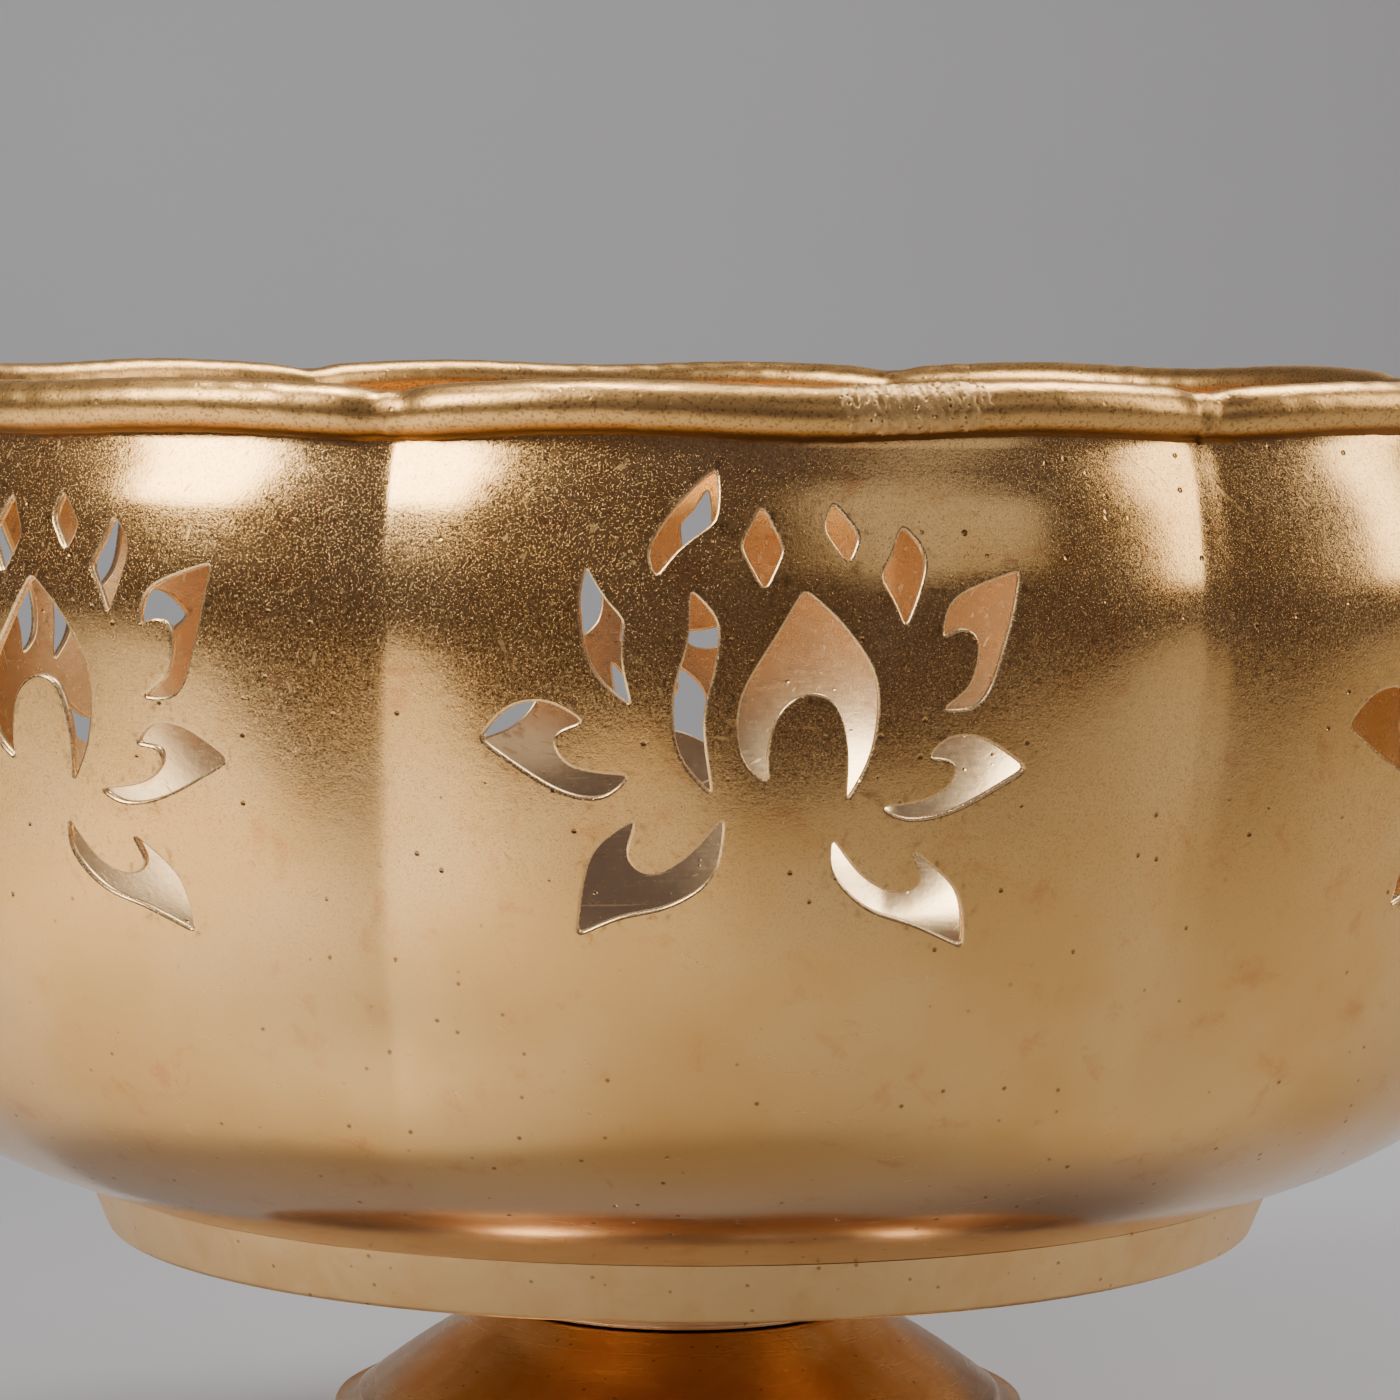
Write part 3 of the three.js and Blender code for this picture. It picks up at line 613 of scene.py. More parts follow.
def rimCover():
    # the tube's outside from its folded lip over the top to the inside of the wall, and its bore
    # back again, carried round the lobed wall
    turn = np.linspace(0, 2 * math.pi, bead["rows"], endpoint=False) + bead["seamTurn"]
    start, stop = math.radians(-76), math.radians(228)
    over = np.linspace(start, stop, 34)
    boreOver = np.linspace(math.radians(222), math.radians(-66), 12)
    centre, height = beadCentre(turn)
    t, o = np.meshgrid(turn, over, indexing="ij")
    outer = beadRadiusAt(t, o)
    lip = bead["lip"] + bead["lipAtCrease"] * nearCrease(turn, bead["lipWidth"])
    out = [centre[:, None] + outer * np.cos(o), centre[:, None] + bead["bore"] * np.cos(boreOver)]
    rise = [height[:, None] + outer * np.sin(o), height[:, None] + bead["bore"] * np.sin(boreOver)]
    lipOut = (centre - bead["outOfWall"])[:, None] + np.array([0.18, 0.34, 0.52])
    lipRise = rise[0][:, :1] - lip[:, None] * np.array([0.9, 1.0, 0.72])
    radius = np.hstack([lipOut, out[0], out[1]])
    z = np.hstack([lipRise, rise[0], rise[1]])
    verts = aroundAxis(radius, turn[:, None], z)
    quads = gridFaces(bead["rows"], radius.shape[1], wrapRows=True, wrapColumns=True)
    piece = makePiece("rolledRimCover", verts.reshape(-1, 3), quads[:, ::-1])
    addAttribute(piece, "creaseDistance", np.repeat(fromCrease(turn), radius.shape[1]))
    # painted shade: the folded lip and the tube's lower side are marked to be darkened as shade under the
    # bead
    under = np.concatenate([np.ones(3), smoothStep(-over, math.radians(38), math.radians(62)), np.zeros(12)])
    addAttribute(piece, "underBead", np.tile(under, len(turn)))
    return piece


def rimBraze():
    # braze run over the strip's joint: a lumpy skin on the tube, thick at the joint and sinking
    # into it at both ends
    rows, columns = 150, 46
    reach = bead["brazeReach"] / bowl["wallTopRadius"]
    turn = np.linspace(-reach, reach, rows) + bead["seamTurn"]
    over = np.linspace(math.radians(-68), math.radians(214), columns)
    t, o = np.meshgrid(turn, over, indexing="ij")
    away = np.abs(t - bead["seamTurn"]) / reach
    patches = rng.normal(size=(16, 10))
    fine = rng.normal(size=(52, 24))

    def spread(noise):
        # noise read between its own points, smoothed
        r = np.linspace(0, noise.shape[0] - 1, rows)
        c = np.linspace(0, noise.shape[1] - 1, columns)
        byRow = np.stack([np.interp(r, np.arange(noise.shape[0]), column) for column in noise.T], 1)
        return np.stack([np.interp(c, np.arange(noise.shape[1]), row) for row in byRow], 0)

    skin = bead["brazeHeight"] * (1 - away**2) * (0.55 + 0.3 * spread(patches)) + 0.07 * spread(fine)
    skin = np.where(away > 0.96, -0.5, np.maximum(skin * smoothStep(1 - away, 0, 0.35), -0.12))
    skin -= 0.09 * smoothStep(away, 0.4, 0.95)
    skin -= 0.5 * smoothStep(np.abs(o - math.radians(73)), math.radians(125), math.radians(141))
    centre, height = beadCentre(t)
    tube = beadRadiusAt(t, o)
    sides = []
    for radius in (tube + skin, np.full_like(tube, bead["bore"] + 0.1)):
        out = centre + radius * np.cos(o)
        sides.append(aroundAxis(out, t, height + radius * np.sin(o)))
    loop = np.concatenate([sides[0], sides[1][:, ::-1]], 1)
    wide = 2 * columns
    quads = [gridFaces(rows, wide, wrapColumns=True)[:, ::-1]]
    c = np.arange(columns - 1)
    for row, flip in ((0, 1), (rows - 1, -1)):
        cap = np.stack([c, c + 1, wide - 2 - c, wide - 1 - c], 1) + row * wide
        quads.append(cap[:, ::flip])
    return makePiece("rimBrazeRun", loop.reshape(-1, 3), np.vstack(quads))


def roundedLine(corners, perCorner=5):
    # corners are [radius, height, rounding]: each corner gives way to a short curve that starts
    # and ends one rounding away from it, a quadratic with the corner as its control point
    p = np.array([c[:2] for c in corners], float)
    before, after = np.roll(p, 1, 0) - p, np.roll(p, -1, 0) - p
    line = []
    for point, back, ahead, corner in zip(p, before, after, corners):
        reach = corner[2]
        if reach <= 0:
            line.append(point[None])
            continue
        a = point + back / np.linalg.norm(back) * min(reach, np.linalg.norm(back) * 0.49)
        b = point + ahead / np.linalg.norm(ahead) * min(reach, np.linalg.norm(ahead) * 0.49)
        t = np.linspace(0, 1, perCorner)[:, None]
        line.append(a * (1 - t) ** 2 + 2 * point * t * (1 - t) + b * t**2)
    return np.vstack(line)


def divided(line, longest):
    # extra points on straight runs so that no step is longer than that, each end kept close
    closed = np.vstack([line, line[:1]])
    out = []
    for a, b in zip(closed, closed[1:]):
        length = np.linalg.norm(b - a)
        steps = max(1, int(math.ceil(length / longest)))
        share = np.arange(steps) / steps
        if steps > 1:
            share = np.sort(np.append(share, [0.04 / length, 1 - 0.04 / length]))
        out.append(a + (b - a) * share[:, None])
    return np.vstack(out)


def turnedPiece(name, line, sides=192, wobble=0.0, longest=3.0):
    # a closed line of [radius, height] carried round the axis, with a shallow wobble in radius
    line = divided(line, longest)
    turn = np.arange(sides) * 2 * math.pi / sides
    bend = wobble * (np.sin(2 * turn + 1) + 0.6 * np.sin(3 * turn + 2) + 0.3 * np.sin(7 * turn))
    radius = line[None, :, 0] + bend[:, None] * (line[None, :, 0] > 12)
    verts = aroundAxis(radius, turn[:, None], line[:, 1])
    quads = gridFaces(sides, len(line), wrapRows=True, wrapColumns=True)
    x, y = line.T
    if np.sum(x * np.roll(y, -1) - y * np.roll(x, -1)) > 0:
        quads = quads[:, ::-1]
    return makePiece(name, verts.reshape(-1, 3), quads)


stand = {
    "seatRadius": 80,
    "hoopTaper": 3,
    "hoopSheet": 1.6,
    "plateSheet": 1.2,
    "boltHole": 3.4,
    "neckFlange": 30,
    "neckWaist": 21,
    "neckFoot": 24,
    "neckLip": 2,
    "crownRadius": 25,
    "coneRadius": 43.5,
    "coneFoot": 22,
    "coneBulge": 0.7,
    "quirkStep": 3,
    "quirkDrop": 1.5,
    "skirtRadius": 63,
    "footSheet": 1.5,
    "footRing": 68,
    "footRingWidth": 8,
}


def seatHoop():
    # a leaning strip with burnished edges, its top dressed to the bowl's slope
    s = stand
    foot = s["seatRadius"] - s["hoopTaper"]
    line = roundedLine(
        [
            [foot - s["hoopSheet"], hoopFoot, 0.5],
            [foot, hoopFoot, 0.6],
            [s["seatRadius"], seatTop + 0.6, 0.08],
            [s["seatRadius"] - s["hoopSheet"], seatTop - 0.25, 0.2],
        ]
    )
    return turnedPiece("seatingHoop", line, 256, wobble=0.03, longest=1.2)


def seatPlate():
    s = stand
    under, top = frameHeight("seat_plate", top=False), frameHeight("seat_plate")
    edge = s["seatRadius"] - s["hoopTaper"] - s["hoopSheet"] - 0.25
    line = roundedLine(
        [[s["boltHole"], under, 0.2], [edge, under, 0.3], [edge + 0.5, top, 0.3], [s["boltHole"], top, 0.2]]
    )
    return turnedPiece("seatPlateDisc", line, 192, longest=8)


def neckSpool():
    # two flanges joined by a hollow curve
    s = stand
    foot, top = frameHeight("neck_spool", top=False), frameHeight("neck_spool")
    cove = catmullRom(
        [
            [s["neckFoot"], foot + s["neckLip"]],
            [s["neckWaist"], (foot + top) / 2],
            [s["neckFlange"], top - s["neckLip"]],
        ],
        14,
    )
    lower = roundedLine([[s["boltHole"], foot, 0.3], [s["neckFoot"], foot, 0.6]])
    upper = roundedLine([[s["neckFlange"], top, 0.6], [s["boltHole"], top, 0.3]])
    lower[-1] = [s["neckFoot"], foot + 0.6]
    upper[0] = [s["neckFlange"], top - 0.6]
    return turnedPiece("turnedNeckSpool", np.vstack([lower, cove, upper]), 160, longest=2.5)


def footBell():
    # flat crown, a slightly bulging cone, a quirk, then a skirt that flares to the ring; cone and
    # skirt are quadratic curves, and the inside is the same line moved in by the sheet
    s = stand
    crown = frameHeight("foot_bell")
    skirtFoot = frameHeight("foot_bell", top=False)
    t = np.linspace(0, 1, 24)[:, None]

    def curve(start, pull, end):
        return start * (1 - t) ** 2 + 2 * pull * t * (1 - t) + end * t**2

    top, edge = np.array([s["crownRadius"], crown]), np.array([s["coneRadius"], s["coneFoot"]])
    cone = curve(top, (top + edge) / 2 + s["coneBulge"], edge)
    start = np.array([s["coneRadius"] + s["quirkStep"], s["coneFoot"] - s["quirkDrop"]])
    end = np.array([s["skirtRadius"], skirtFoot])
    flare = curve(start, np.array([start[0] + 0.2 * (end[0] - start[0]), skirtFoot + 3]), end)
    quirk = catmullRom([edge, edge + [0.35, -0.9], start - [1.1, 0.25], start], 6)[1:-1]
    crownEdge = np.array([[s["boltHole"], crown], [s["crownRadius"] - 1.5, crown]])
    outside = np.vstack([crownEdge, cone, quirk, flare])
    along = np.gradient(outside, axis=0)
    along /= np.linalg.norm(along, axis=1, keepdims=True)
    inside = outside + np.stack([along[:, 1], -along[:, 0]], 1) * s["footSheet"]
    inside[0] = [s["boltHole"], crown - s["footSheet"]]
    inside[-1, 1] = skirtFoot
    return turnedPiece("spunFootBell", np.vstack([outside, inside[::-1]]), 224, wobble=0.08, longest=4)


def footRing():
    # flat-bottomed ring with a rounded outer edge
    s = stand
    top = frameHeight("foot_ring")
    inner, outer = s["footRing"] - s["footRingWidth"], s["footRing"]
    line = roundedLine(
        [
            [inner, 0, 0.4],
            [outer - 2.4, 0, 0.3],
            [outer, 0.3, 1.4],
            [outer, top, 2.3],
            [inner, top, 0.5],
        ],
        8,
    )
    return turnedPiece("turnedFootRing", line, 224, longest=2)


bolt = {"radius": 3, "headRadius": 8, "pitch": 1.0, "threadDepth": 0.32, "threaded": 16}
washerHole = 3.4
coil = {"hole": 3.45, "radius": 5.5}
nut = {"halfFlats": 5, "bore": 3.45, "countersink": 3.85, "face": 4.75, "cone": 5.05, "coneSlope": 1.7}


def washerPiece(name, node, radius):
    # stamped washer: one face's edges rounded more than the other's
    low, high = frameHeight(node, top=False), frameHeight(node)
    hole = washerHole
    line = roundedLine([[hole, low, 0.15], [radius, low, 0.12], [radius, high, 0.35], [hole, high, 0.3]])
    return turnedPiece(name, line, 96, longest=1.5)


def lockWasher():
    # a square-section coil that almost closes, its two cut ends a little out of line
    low, high = frameHeight("lock_washer", top=False), frameHeight("lock_washer")
    near, far = coil["hole"], coil["radius"]
    section = roundedLine([[near, low, 0.2], [far, low, 0.25], [far, high, 0.25], [near, high, 0.2]])
    rows = 120
    share = np.linspace(0, 1, rows)
    turn = math.pi / 2 + 0.095 + share * (2 * math.pi - 0.19)
    twist = 0.18 * (share - 0.5) * smoothStep(np.abs(share - 0.5), 0.3, 0.5)
    radius = np.broadcast_to(section[:, 0], (rows, len(section)))
    height = section[None, :, 1] + twist[:, None]
    verts = aroundAxis(radius, turn[:, None], height).reshape(-1, 3)
    around = len(section)
    quads = gridFaces(rows, around, wrapColumns=True)[:, ::-1]
    caps = []
    for first, flip in ((0, 1), ((rows - 1) * around, -1)):
        centre = len(verts)
        verts = np.vstack([verts, verts[first : first + around].mean(0)])
        ring = first + np.arange(around)
        cap = np.stack([np.full(around, centre), ring, np.roll(ring, -1), np.roll(ring, -1)], 1)
        caps.append(cap[:, [0, 1, 2]][:, ::flip])
    triangles = np.vstack([quads[:, [0, 1, 2]], quads[:, [0, 2, 3]], *caps])
    return makePiece("splitLockWasher", verts, triangles)


def tieBolt():
    # shank with a helical thread: radius falls from crest to root as the height and the turn
    # together pass each pitch, under a low domed head
    b = bolt
    tip, top = frameHeight("tie_bolt", top=False), frameHeight("tie_bolt")
    underHead = top - 1.4
    sides = 64
    turn = np.arange(sides) * 2 * math.pi / sides
    threadEnd = tip + b["threaded"]
    height = np.concatenate([np.arange(tip + 0.6, threadEnd, 0.125), [threadEnd + 0.3, underHead]])
    h, t = np.meshgrid(height, turn, indexing="ij")
    phase = h / b["pitch"] - t / (2 * math.pi)
    tooth = np.abs(phase - np.round(phase)) * 2
    cut = b["threadDepth"] * smoothStep(tooth, 0.15, 0.9) * smoothStep(threadEnd - h, 0, 1.5)
    radius = b["radius"] - cut
    over = np.linspace(0, math.pi / 2, 10)[:-1]
    headRadius = np.concatenate([[b["headRadius"] - 0.15], b["headRadius"] * np.cos(over), [0.01]])
    headHeight = np.concatenate([[underHead], underHead + 0.1 + 1.3 * np.sin(over), [top]])
    tipRadius = np.array([0.01, b["radius"] - 0.8, b["radius"] - 0.45])
    tipHeight = np.array([tip, tip, tip + 0.3])

    def allRound(values):
        return np.repeat(values[:, None], sides, 1)

    radius = np.vstack([allRound(tipRadius), radius, allRound(headRadius)])
    h = np.vstack([allRound(tipHeight), h, allRound(headHeight)])
    verts = aroundAxis(radius, turn, h)
    quads = gridFaces(len(radius), sides, wrapColumns=True)
    return makePiece("tieBoltThreaded", verts.reshape(-1, 3), quads)


def tieNut():
    # hexagon whose corners are turned off by a cone at both ends, with a countersunk bore
    low, high = frameHeight("tie_nut", top=False), frameHeight("tie_nut")
    sides = 96
    turn = np.arange(sides) * 2 * math.pi / sides
    flat = np.abs(np.mod(turn + math.pi / 6, math.pi / 3) - math.pi / 6)
    hexagon = nut["halfFlats"] / np.cos(flat)

    def circle(radius):
        return np.full(sides, radius)

    def cone(inside):
        return np.minimum(hexagon, nut["cone"] + inside * nut["coneSlope"])

    lower = [
        (circle(nut["bore"]), 0.5),
        (circle(nut["countersink"]), 0),
        (circle(nut["face"]), 0),
        (cone(0), 0.08),
        (cone(0.2), 0.28),
        (cone(0.45), 0.55),
    ]
    rows = [(r, low + inside) for r, inside in lower]
    rows += [(r, high - inside) for r, inside in reversed(lower)]
    radius = np.stack([r for r, _ in rows])
    height = np.array([z for _, z in rows])[:, None]
    verts = aroundAxis(radius, turn, height)
    quads = gridFaces(len(rows), sides, wrapRows=True, wrapColumns=True)
    return makePiece("hexNut", verts.reshape(-1, 3), quads)


def nodeKit(name):
    # a fresh material and short ways to fill it: add makes any node, and the others make a sum, a
    # smooth step between two values, a blend of two colors and a noise
    material = bpy.data.materials.new(name)
    material.use_nodes = True
    tree = material.node_tree
    tree.nodes.clear()

    def add(kind, settings=None, **inputs):
        node = tree.nodes.new("ShaderNode" + kind)
        for key, value in (settings or {}).items():
            setattr(node, key, value)
        for key, value in inputs.items():
            socket = node.inputs[int(key[1:])] if key[1:].isdigit() else node.inputs[key.replace("_", " ")]
            if isinstance(value, bpy.types.NodeSocket):
                tree.links.new(value, socket)
            else:
                socket.default_value = value
        return node

    def calc(operation, a, b=0.0, clamp=False):
        return add("Math", {"operation": operation, "use_clamp": clamp}, i0=a, i1=b).outputs[0]

    def ramp(value, low, high, toLow=0.0, toHigh=1.0, easing="SMOOTHSTEP"):
        node = add("MapRange", {"interpolation_type": easing}, Value=value)
        for key, number in (("From Min", low), ("From Max", high), ("To Min", toLow), ("To Max", toHigh)):
            node.inputs[key].default_value = number
        return node.outputs[0]

    def mix(share, a, b):
        node = add("Mix", {"data_type": "RGBA"}, Factor=share)
        for socket, value in ((node.inputs[6], a), (node.inputs[7], b)):
            if isinstance(value, bpy.types.NodeSocket):
                tree.links.new(value, socket)
            else:
                socket.default_value = (*value, 1)
        return node.outputs[2]

    def noise(vector, scale, detail=2.0, roughness=0.5, distortion=0.0):
        node = add("TexNoise", None, Vector=vector, Scale=scale, Detail=detail, Roughness=roughness)
        node.inputs["Distortion"].default_value = distortion
        return node.outputs[0]

    return material, add, calc, ramp, mix, noise


def millimetrePlace(add):
    # the piece's own place in millimetres
    own = add("TexCoord").outputs["Object"]
    return add("Mapping", None, Vector=own, Scale=(1000, 1000, 1000)).outputs[0]


def spunLines(add, calc, noise, place, perMillimetre, detail):
    # rings left by the lathe: noise that changes quickly with radius and height, slowly around
    split = add("SeparateXYZ", None, Vector=place)
    flat = add("CombineXYZ", None, X=split.outputs[0], Y=split.outputs[1])
    radius = add("VectorMath", {"operation": "LENGTH"}, i0=flat.outputs[0]).outputs["Value"]
    around = calc("MULTIPLY", split.outputs[0], 0.012)
    beside = calc("MULTIPLY", split.outputs[1], 0.012)
    u = calc("ADD", calc("MULTIPLY", radius, perMillimetre), around)
    v = calc("ADD", calc("MULTIPLY", split.outputs[2], perMillimetre), beside)
    return noise(add("CombineXYZ", None, X=u, Y=v).outputs[0], 1.0, detail, 0.65)


def weighted(calc, start, *terms):
    # start plus each value times its weight
    for value, weight in terms:
        start = calc("ADD", start, calc("MULTIPLY", value, weight))
    return start


def metalSurface(add, color, rough, relief, height, metal=1.0):
    # joins up a metal; height is that of its relief, in metres
    normal = add("Bump", None, Strength=1.0, Distance=height, Height=relief).outputs[0]
    shader = add("BsdfPrincipled", None, Base_Color=color, Roughness=rough, Metallic=metal, Normal=normal)
    add("OutputMaterial", None, Surface=shader.outputs[0])


goldLook = {
    "gold": (0.82, 0.46, 0.145),
    "paleGold": (0.88, 0.53, 0.195),
    "redGold": (0.60, 0.19, 0.06),
    "dark": (0.15, 0.06, 0.02),
    "cutEdge": (0.95, 0.66, 0.32),
    "insideGold": (0.86, 0.60, 0.31),
    # painted light: a paler gold on the underside that lifts its dark reflections
    "underPaintedLight": (0.88, 0.63, 0.41),
    "roughness": 0.15,
    "grainFrom": seatTop + 34,
    "grainTo": seatTop + 64,
    "grainUneven": 26,  # its edge wanders up and down by about this much
    "grainPerMm": 3.4,
    "bump": 0.00004,
}


def bowlGold():
    # satin gold plate over brass: grainy above, smooth and faintly spun below, with pits, fine
    # scratches, warm tints, bright sawn edges, and painted light that makes the underside paler
    g = goldLook
    material, add, calc, ramp, mix, noise = nodeKit("urli satin gold")
    place = millimetrePlace(add)
    height = add("SeparateXYZ", None, Vector=place).outputs[2]
    broad = noise(place, 0.045, 3, 0.55)
    cloud = noise(place, 0.16, 5, 0.62, 0.4)
    grain = noise(place, g["grainPerMm"], 3, 0.7)
    coarse = noise(place, 0.85, 3, 0.6)
    lines = spunLines(add, calc, noise, place, 1.9, 4)
    uneven = calc("ADD", height, calc("MULTIPLY", calc("SUBTRACT", broad, 0.5), g["grainUneven"]))
    above = ramp(uneven, g["grainFrom"], g["grainTo"], 0.12, 1)
    inside = add("Attribute", {"attribute_name": "inside"}).outputs["Fac"]
    above = calc("MULTIPLY", above, calc("SUBTRACT", 1.0, inside))
    cells = add("TexVoronoi", None, Vector=place, Scale=0.42)
    chosen = ramp(add("SeparateColor", None, Color=cells.outputs["Color"]).outputs[0], 0.74, 0.78)
    pits = calc("MULTIPLY", ramp(cells.outputs["Distance"], 0.05, 0.17, 1, 0), chosen)
    scratches = None
    for turnX, turnZ, phase in ((0.5, 0.4, 3.0), (-0.7, 1.3, 11.0), (1.25, -0.5, 23.0)):
        laid = {"Rotation": (turnX, 0, turnZ), "Location": (phase, 0, 0), "Scale": (0.045, 2.6, 0.5)}
        lay = add("Mapping", None, Vector=place, **laid)
        thin = ramp(noise(lay.outputs[0], 1.0, 1, 0.4, 0.25), 0.735, 0.775)
        scratches = thin if scratches is None else calc("MAXIMUM", scratches, thin)
    sawn = add("Attribute", {"attribute_name": "sawnEdge"}).outputs["Fac"]
    fromEdge = add("Attribute", {"attribute_name": "edgeDistance"}).outputs["Fac"]
    beside = ramp(fromEdge, 0.2, 2.2, 1, 0)
    soot = calc("MULTIPLY", beside, ramp(coarse, 0.52, 0.72))
    warm = calc("MULTIPLY", ramp(cloud, 0.56, 0.72), 0.34)
    flecks = calc("MULTIPLY", ramp(grain, 0.36, 0.52, 1, 0), calc("MULTIPLY", above, 0.34))
    color = mix(ramp(broad, 0.35, 0.65), g["gold"], g["paleGold"])
    layers = [
        (calc("MULTIPLY", inside, 0.85), "insideGold"),
        # painted light: the underside below the knuckle turns paler towards the seat
        (ramp(height, seatTop + 8, seatTop + 20, 0.8, 0), "underPaintedLight"),
        (warm, "redGold"),
        (flecks, "dark"),
        (calc("MULTIPLY", pits, 0.75), "dark"),
        (calc("MULTIPLY", soot, 0.55), "dark"),
        (calc("MULTIPLY", sawn, 0.8), "cutEdge"),
    ]
    for share, tint in layers:
        color = mix(share, color, g[tint])
    rough = weighted(
        calc,
        g["roughness"],
        (calc("SUBTRACT", coarse, 0.5), 0.10),
        (calc("SUBTRACT", lines, 0.5), 0.12),
        (calc("MULTIPLY", calc("SUBTRACT", grain, 0.44), above), 0.5),
        (scratches, 0.12),
        (inside, 0.1),
    )
    rough = calc("ADD", rough, calc("MULTIPLY", sawn, 0.1), True)
    metal = calc("SUBTRACT", 1.0, calc("MULTIPLY", sawn, 0.15))
    sparks = ramp(noise(place, 5.5, 1, 0.5), 0.62, 0.72)
    relief = weighted(
        calc,
        0.0,
        (calc("MULTIPLY", grain, above), 0.22),
        (calc("MULTIPLY", sparks, above), 0.3),
        (coarse, 0.35),
        (lines, 0.10),
        (pits, -1.6),
        (scratches, -0.08),
    )
    metalSurface(add, color, rough, relief, g["bump"], metal)
    return material


def rimGold():
    # the bead's gold: grainy and nicked, with painted shade along its underside and painted shade in the
    # creases
    g = goldLook
    material, add, calc, ramp, mix, noise = nodeKit("rim bead gold")
    place = millimetrePlace(add)
    cloud = noise(place, 0.22, 4, 0.6, 0.3)
    grain = noise(place, 2.3, 3, 0.7)
    dents = noise(place, 0.7, 2, 0.5)
    nick = add("TexVoronoi", None, Vector=place, Scale=0.6)
    nicks = ramp(nick.outputs["Distance"], 0.06, 0.2, 1, 0)
    crease = ramp(add("Attribute", {"attribute_name": "creaseDistance"}).outputs["Fac"], 0.4, 2.6, 1, 0)
    under = add("Attribute", {"attribute_name": "underBead"}).outputs["Fac"]
    color = mix(calc("MULTIPLY", ramp(grain, 0.34, 0.5, 1, 0), 0.62), g["gold"], g["dark"])
    # painted shade along the bead's underside and its lip
    color = mix(calc("MULTIPLY", under, 0.72), color, g["dark"])
    # painted shade: patchy darkening at each crease of the rim
    color = mix(calc("MULTIPLY", calc("MULTIPLY", crease, ramp(dents, 0.35, 0.6)), 0.5), color, g["dark"])
    rough = calc("ADD", 0.33, calc("MULTIPLY", calc("SUBTRACT", cloud, 0.5), 0.12), True)
    relief = weighted(calc, 0.0, (grain, 0.8), (dents, 0.4), (nicks, -0.6))
    metalSurface(add, color, rough, relief, 0.00004)
    return material


def brazeMetal():
    # rough, pitted, sooty braze
    material, add, calc, ramp, mix, noise = nodeKit("pitted braze")
    place = millimetrePlace(add)
    lumps = noise(place, 0.55, 5, 0.7, 0.5)
    grain = noise(place, 2.8, 4, 0.75)
    cells = add("TexVoronoi", None, Vector=place, Scale=1.1)
    pits = ramp(cells.outputs["Distance"], 0.1, 0.32, 1, 0)
    color = mix(ramp(lumps, 0.35, 0.65), (0.70, 0.41, 0.15), (0.86, 0.52, 0.19))
    color = mix(calc("MULTIPLY", pits, ramp(lumps, 0.4, 0.6)), color, (0.10, 0.05, 0.025))
    color = mix(calc("MULTIPLY", ramp(grain, 0.3, 0.45, 1, 0), 0.6), color, (0.12, 0.06, 0.03))
    rough = ramp(grain, 0.2, 0.8, 0.30, 0.50)
    relief = weighted(calc, lumps, (grain, 0.5), (pits, -0.7))
    metalSurface(add, color, rough, relief, 0.00012)
    return material


def standGold(name, gold, deep, roughness, lineStrength):
    # spun gold with lathe rings, cloudy tarnish and small marks
    material, add, calc, ramp, mix, noise = nodeKit(name)
    place = millimetrePlace(add)
    cloud = noise(place, 0.13, 5, 0.62, 0.5)
    fine = noise(place, 1.7, 3, 0.65)
    lines = spunLines(add, calc, noise, place, 2.6, 5)
    wide = spunLines(add, calc, noise, place, 0.5, 2)
    cells = add("TexVoronoi", None, Vector=place, Scale=0.35)
    marks = ramp(cells.outputs["Distance"], 0.04, 0.13, 1, 0)
    color = mix(ramp(cloud, 0.38, 0.7), gold, deep)
    color = mix(calc("MULTIPLY", ramp(lines, 0.6, 0.75), 0.25), color, deep)
    color = mix(calc("MULTIPLY", marks, 0.6), color, (0.14, 0.07, 0.03))
    rough = calc("ADD", roughness, calc("MULTIPLY", calc("SUBTRACT", lines, 0.5), 0.22))
    rough = calc("ADD", rough, calc("MULTIPLY", calc("SUBTRACT", cloud, 0.5), 0.16), True)
    relief = weighted(calc, 0.0, (lines, lineStrength), (wide, lineStrength * 2), (fine, 0.35), (marks, -1.2))
    metalSurface(add, color, rough, relief, 0.00004)
    return material


def zincSteel():
    # zinc plate: cloudy grey spangle with fine stamping marks
    material, add, calc, ramp, mix, noise = nodeKit("zinc plated steel")
    place = millimetrePlace(add)
    spangle = add("TexVoronoi", None, Vector=place, Scale=0.8)
    tone = add("SeparateColor", None, Color=spangle.outputs["Color"]).outputs[0]
    cloud = noise(place, 0.5, 4, 0.6)
    lines = spunLines(add, calc, noise, place, 4.0, 3)
    color = mix(tone, (0.46, 0.47, 0.48), (0.62, 0.62, 0.60))
    color = mix(calc("MULTIPLY", ramp(cloud, 0.5, 0.7), 0.5), color, (0.36, 0.34, 0.31))
    rough = calc("ADD", 0.3, calc("MULTIPLY", cloud, 0.22))
    relief = weighted(calc, 0.0, (lines, 0.5), (cloud, 0.8))
    metalSurface(add, color, rough, relief, 0.00003)
    return material


def paperWhite(name, color, roughness):
    # matt sheet for the table and the backdrop, very slightly uneven
    material, add, calc, ramp, mix, noise = nodeKit(name)
    place = millimetrePlace(add)
    cloud = noise(place, 0.004, 2, 0.5)
    shade = mix(cloud, color, tuple(0.94 * c for c in color))
    shader = add("BsdfPrincipled", None, Base_Color=shade, Roughness=roughness)
    add("OutputMaterial", None, Surface=shader.outputs[0])
    return material


bowlFinish = bowlGold()
# one spun brass in two copies: the hoop's is paler, painted light, and the pedestal's is darker, painted
# shade; the pedestal's lathe rings are also stronger
hoopPaintedLitFinish = standGold("spun hoop gold painted lit", (0.95, 0.62, 0.27), (0.90, 0.54, 0.22), 0.36, 0.10)
pedestalPaintedShadeFinish = standGold("spun pedestal gold painted shade", (0.80, 0.52, 0.27), (0.72, 0.40, 0.17), 0.3, 0.25)
steelFinish = zincSteel()

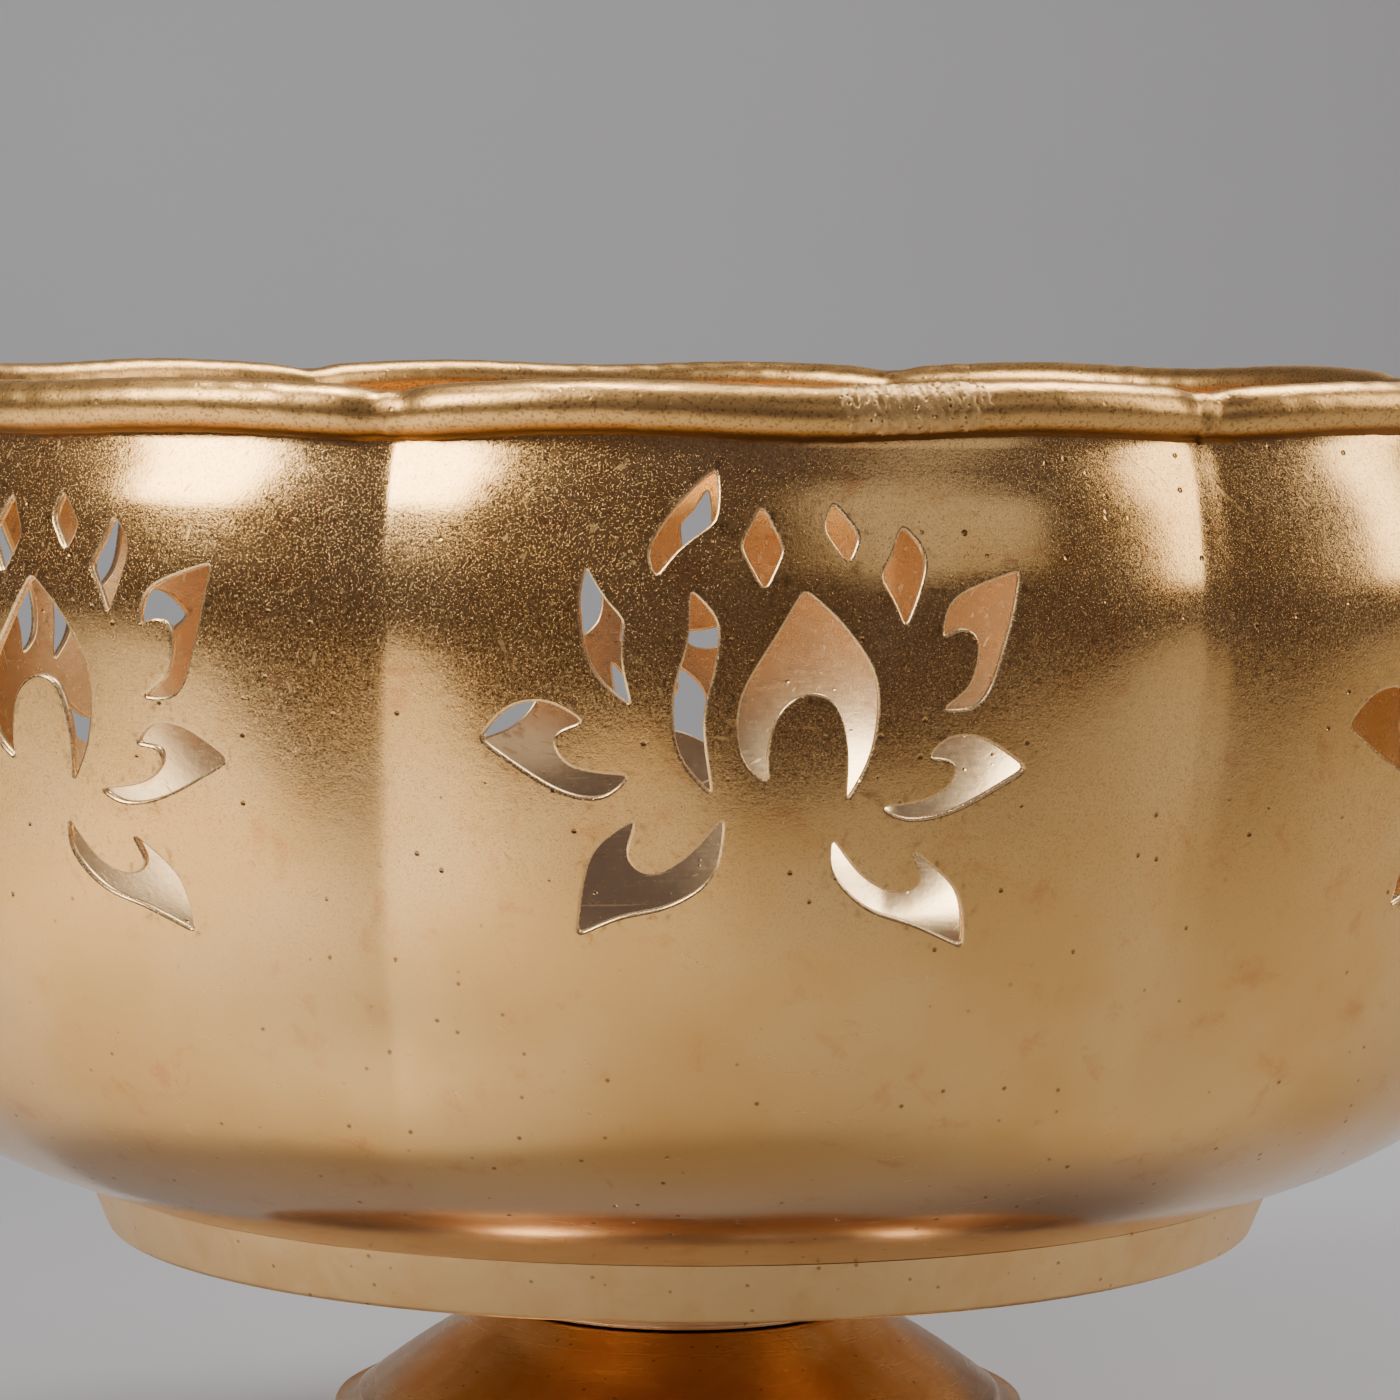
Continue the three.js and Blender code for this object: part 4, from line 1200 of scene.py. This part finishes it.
finish(bowlShell(), "bowl", "bowl_brass", bowlFinish, "bowl_shell")
finish(rimCover(), "bowl", "bowl_brass", rimGold(), "rim_cover")
finish(rimBraze(), "bowl", "braze", brazeMetal(), "rim_braze")
finish(seatHoop(), "stand", "stand_brass", hoopPaintedLitFinish, "seat_hoop")
finish(seatPlate(), "stand", "stand_brass", pedestalPaintedShadeFinish, "seat_plate")
finish(neckSpool(), "stand", "stand_brass", pedestalPaintedShadeFinish, "neck_spool")
finish(footBell(), "stand", "stand_brass", pedestalPaintedShadeFinish, "foot_bell")
finish(footRing(), "stand", "stand_brass", pedestalPaintedShadeFinish, "foot_ring")
finish(tieBolt(), "stand", "fastener_steel", steelFinish, "tie_bolt")
finish(washerPiece("headWasher", "plate_washer", 10), "stand", "fastener_steel", steelFinish, "plate_washer")
wideWasher = washerPiece("wideFootWasher", "foot_washer", 13)
finish(wideWasher, "stand", "fastener_steel", steelFinish, "foot_washer")
finish(lockWasher(), "stand", "fastener_steel", steelFinish, "lock_washer")
finish(tieNut(), "stand", "fastener_steel", steelFinish, "tie_nut")


studio = {
    "table": 3000,
    "tableFront": -430,
    "bend": 700,
    "backdropAway": 1300,
    "tableColor": (0.40, 0.392, 0.388),
    "world": (0.105, 0.093, 0.125),
}


def tableAndBackdrop():
    # a flat table that bends up into a backdrop: straight, a quarter circle, straight
    s = studio
    bend = np.linspace(0, math.pi / 2, 24)
    away = s["backdropAway"] + s["bend"] * np.sin(bend)
    up = s["bend"] * (1 - np.cos(bend))
    line = np.vstack([[[s["tableFront"], 0]], np.stack([away, up], 1), [[away[-1], 2600]]])
    across = np.array([-1, 1]) * s["table"] / 2
    verts = np.array([[x, y, z] for y, z in line for x in across])
    sweep = makePiece("tableAndBackdrop", verts, gridFaces(len(line), 2))
    sweep.data.materials.append(paperWhite("pale table", s["tableColor"], 0.75))
    sweep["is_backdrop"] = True


tableAndBackdrop()


def softbox(
    name, azimuth, elevation, distance, width, tall, watts, color=(1, 1, 1), aim=(0, 0, 0.11), spread=180
):
    # azimuth is turned from the front towards +X, and the panel faces its aim
    bowlMiddle, target = Vector((0, 0, 0.11)), Vector(aim)
    light = bpy.data.lights.new(name, "AREA")
    light.shape = "RECTANGLE"
    light.size, light.size_y = width, tall
    light.energy, light.color = watts, color
    light.spread = math.radians(spread)
    panel = bpy.data.objects.new(name, light)
    a, e = math.radians(azimuth), math.radians(elevation)
    towards = Vector((math.cos(e) * math.sin(a), -math.cos(e) * math.cos(a), math.sin(e)))
    panel.location = bowlMiddle + distance * towards
    panel.rotation_euler = (target - panel.location).to_track_quat("-Z", "Y").to_euler()
    bpy.context.scene.collection.objects.link(panel)


view = {"away": 671, "turn": -6.81, "height": 167, "lens": 128.6, "pan": 0.2, "pitch": 4.4, "roll": 0.35}
softbox("left window", view["turn"] - 52, 38, 1.5, 0.52, 0.7, 18)
softbox("right strip", view["turn"] + 81, 24, 1.6, 0.4, 1.0, 7, (1, 0.96, 0.9))
softbox("front fill", view["turn"] + 31, 24, 1.8, 0.9, 0.5, 0.8)
softbox("table light", view["turn"] - 58, 76, 0.85, 0.2, 0.2, 2.5, aim=(-0.36, -0.22, 0), spread=46)
softbox("table fill", 125, 58, 1.3, 0.6, 0.6, 5, aim=(0.35, 0.15, 0), spread=90)
softbox("backdrop light", 180, 35, 1.3, 1.6, 0.4, 7.5, aim=(0, 2, 0))

world = bpy.data.worlds.new("dim room")
world.use_nodes = True
world.node_tree.nodes["Background"].inputs["Color"].default_value = (*studio["world"], 1)
world.node_tree.nodes["Background"].inputs["Strength"].default_value = 1.0
bpy.context.scene.world = world


def placeCamera():
    # on a circle round the bowl, looking a little down and a little past its axis
    away, turn = view["away"] * mm, math.radians(view["turn"])
    lens = bpy.data.cameras.new("long lens")
    lens.sensor_width, lens.lens = 36, view["lens"]
    lens.clip_start = 0.01
    camera = bpy.data.objects.new("camera", lens)
    camera.location = (away * math.sin(turn), -away * math.cos(turn), view["height"] * mm)
    pan, pitch, roll = (math.radians(view[key]) for key in ("pan", "pitch", "roll"))
    aim = Euler((math.pi / 2 - pitch, 0, turn - pan)).to_matrix() @ Euler((0, 0, roll)).to_matrix()
    camera.rotation_euler = aim.to_euler()
    bpy.context.scene.collection.objects.link(camera)
    bpy.context.scene.camera = camera


placeCamera()

plain = lambda box: [[float(x) for x in corner] for corner in box]
{"cad": plain(cadBox), "visual": plain(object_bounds())}
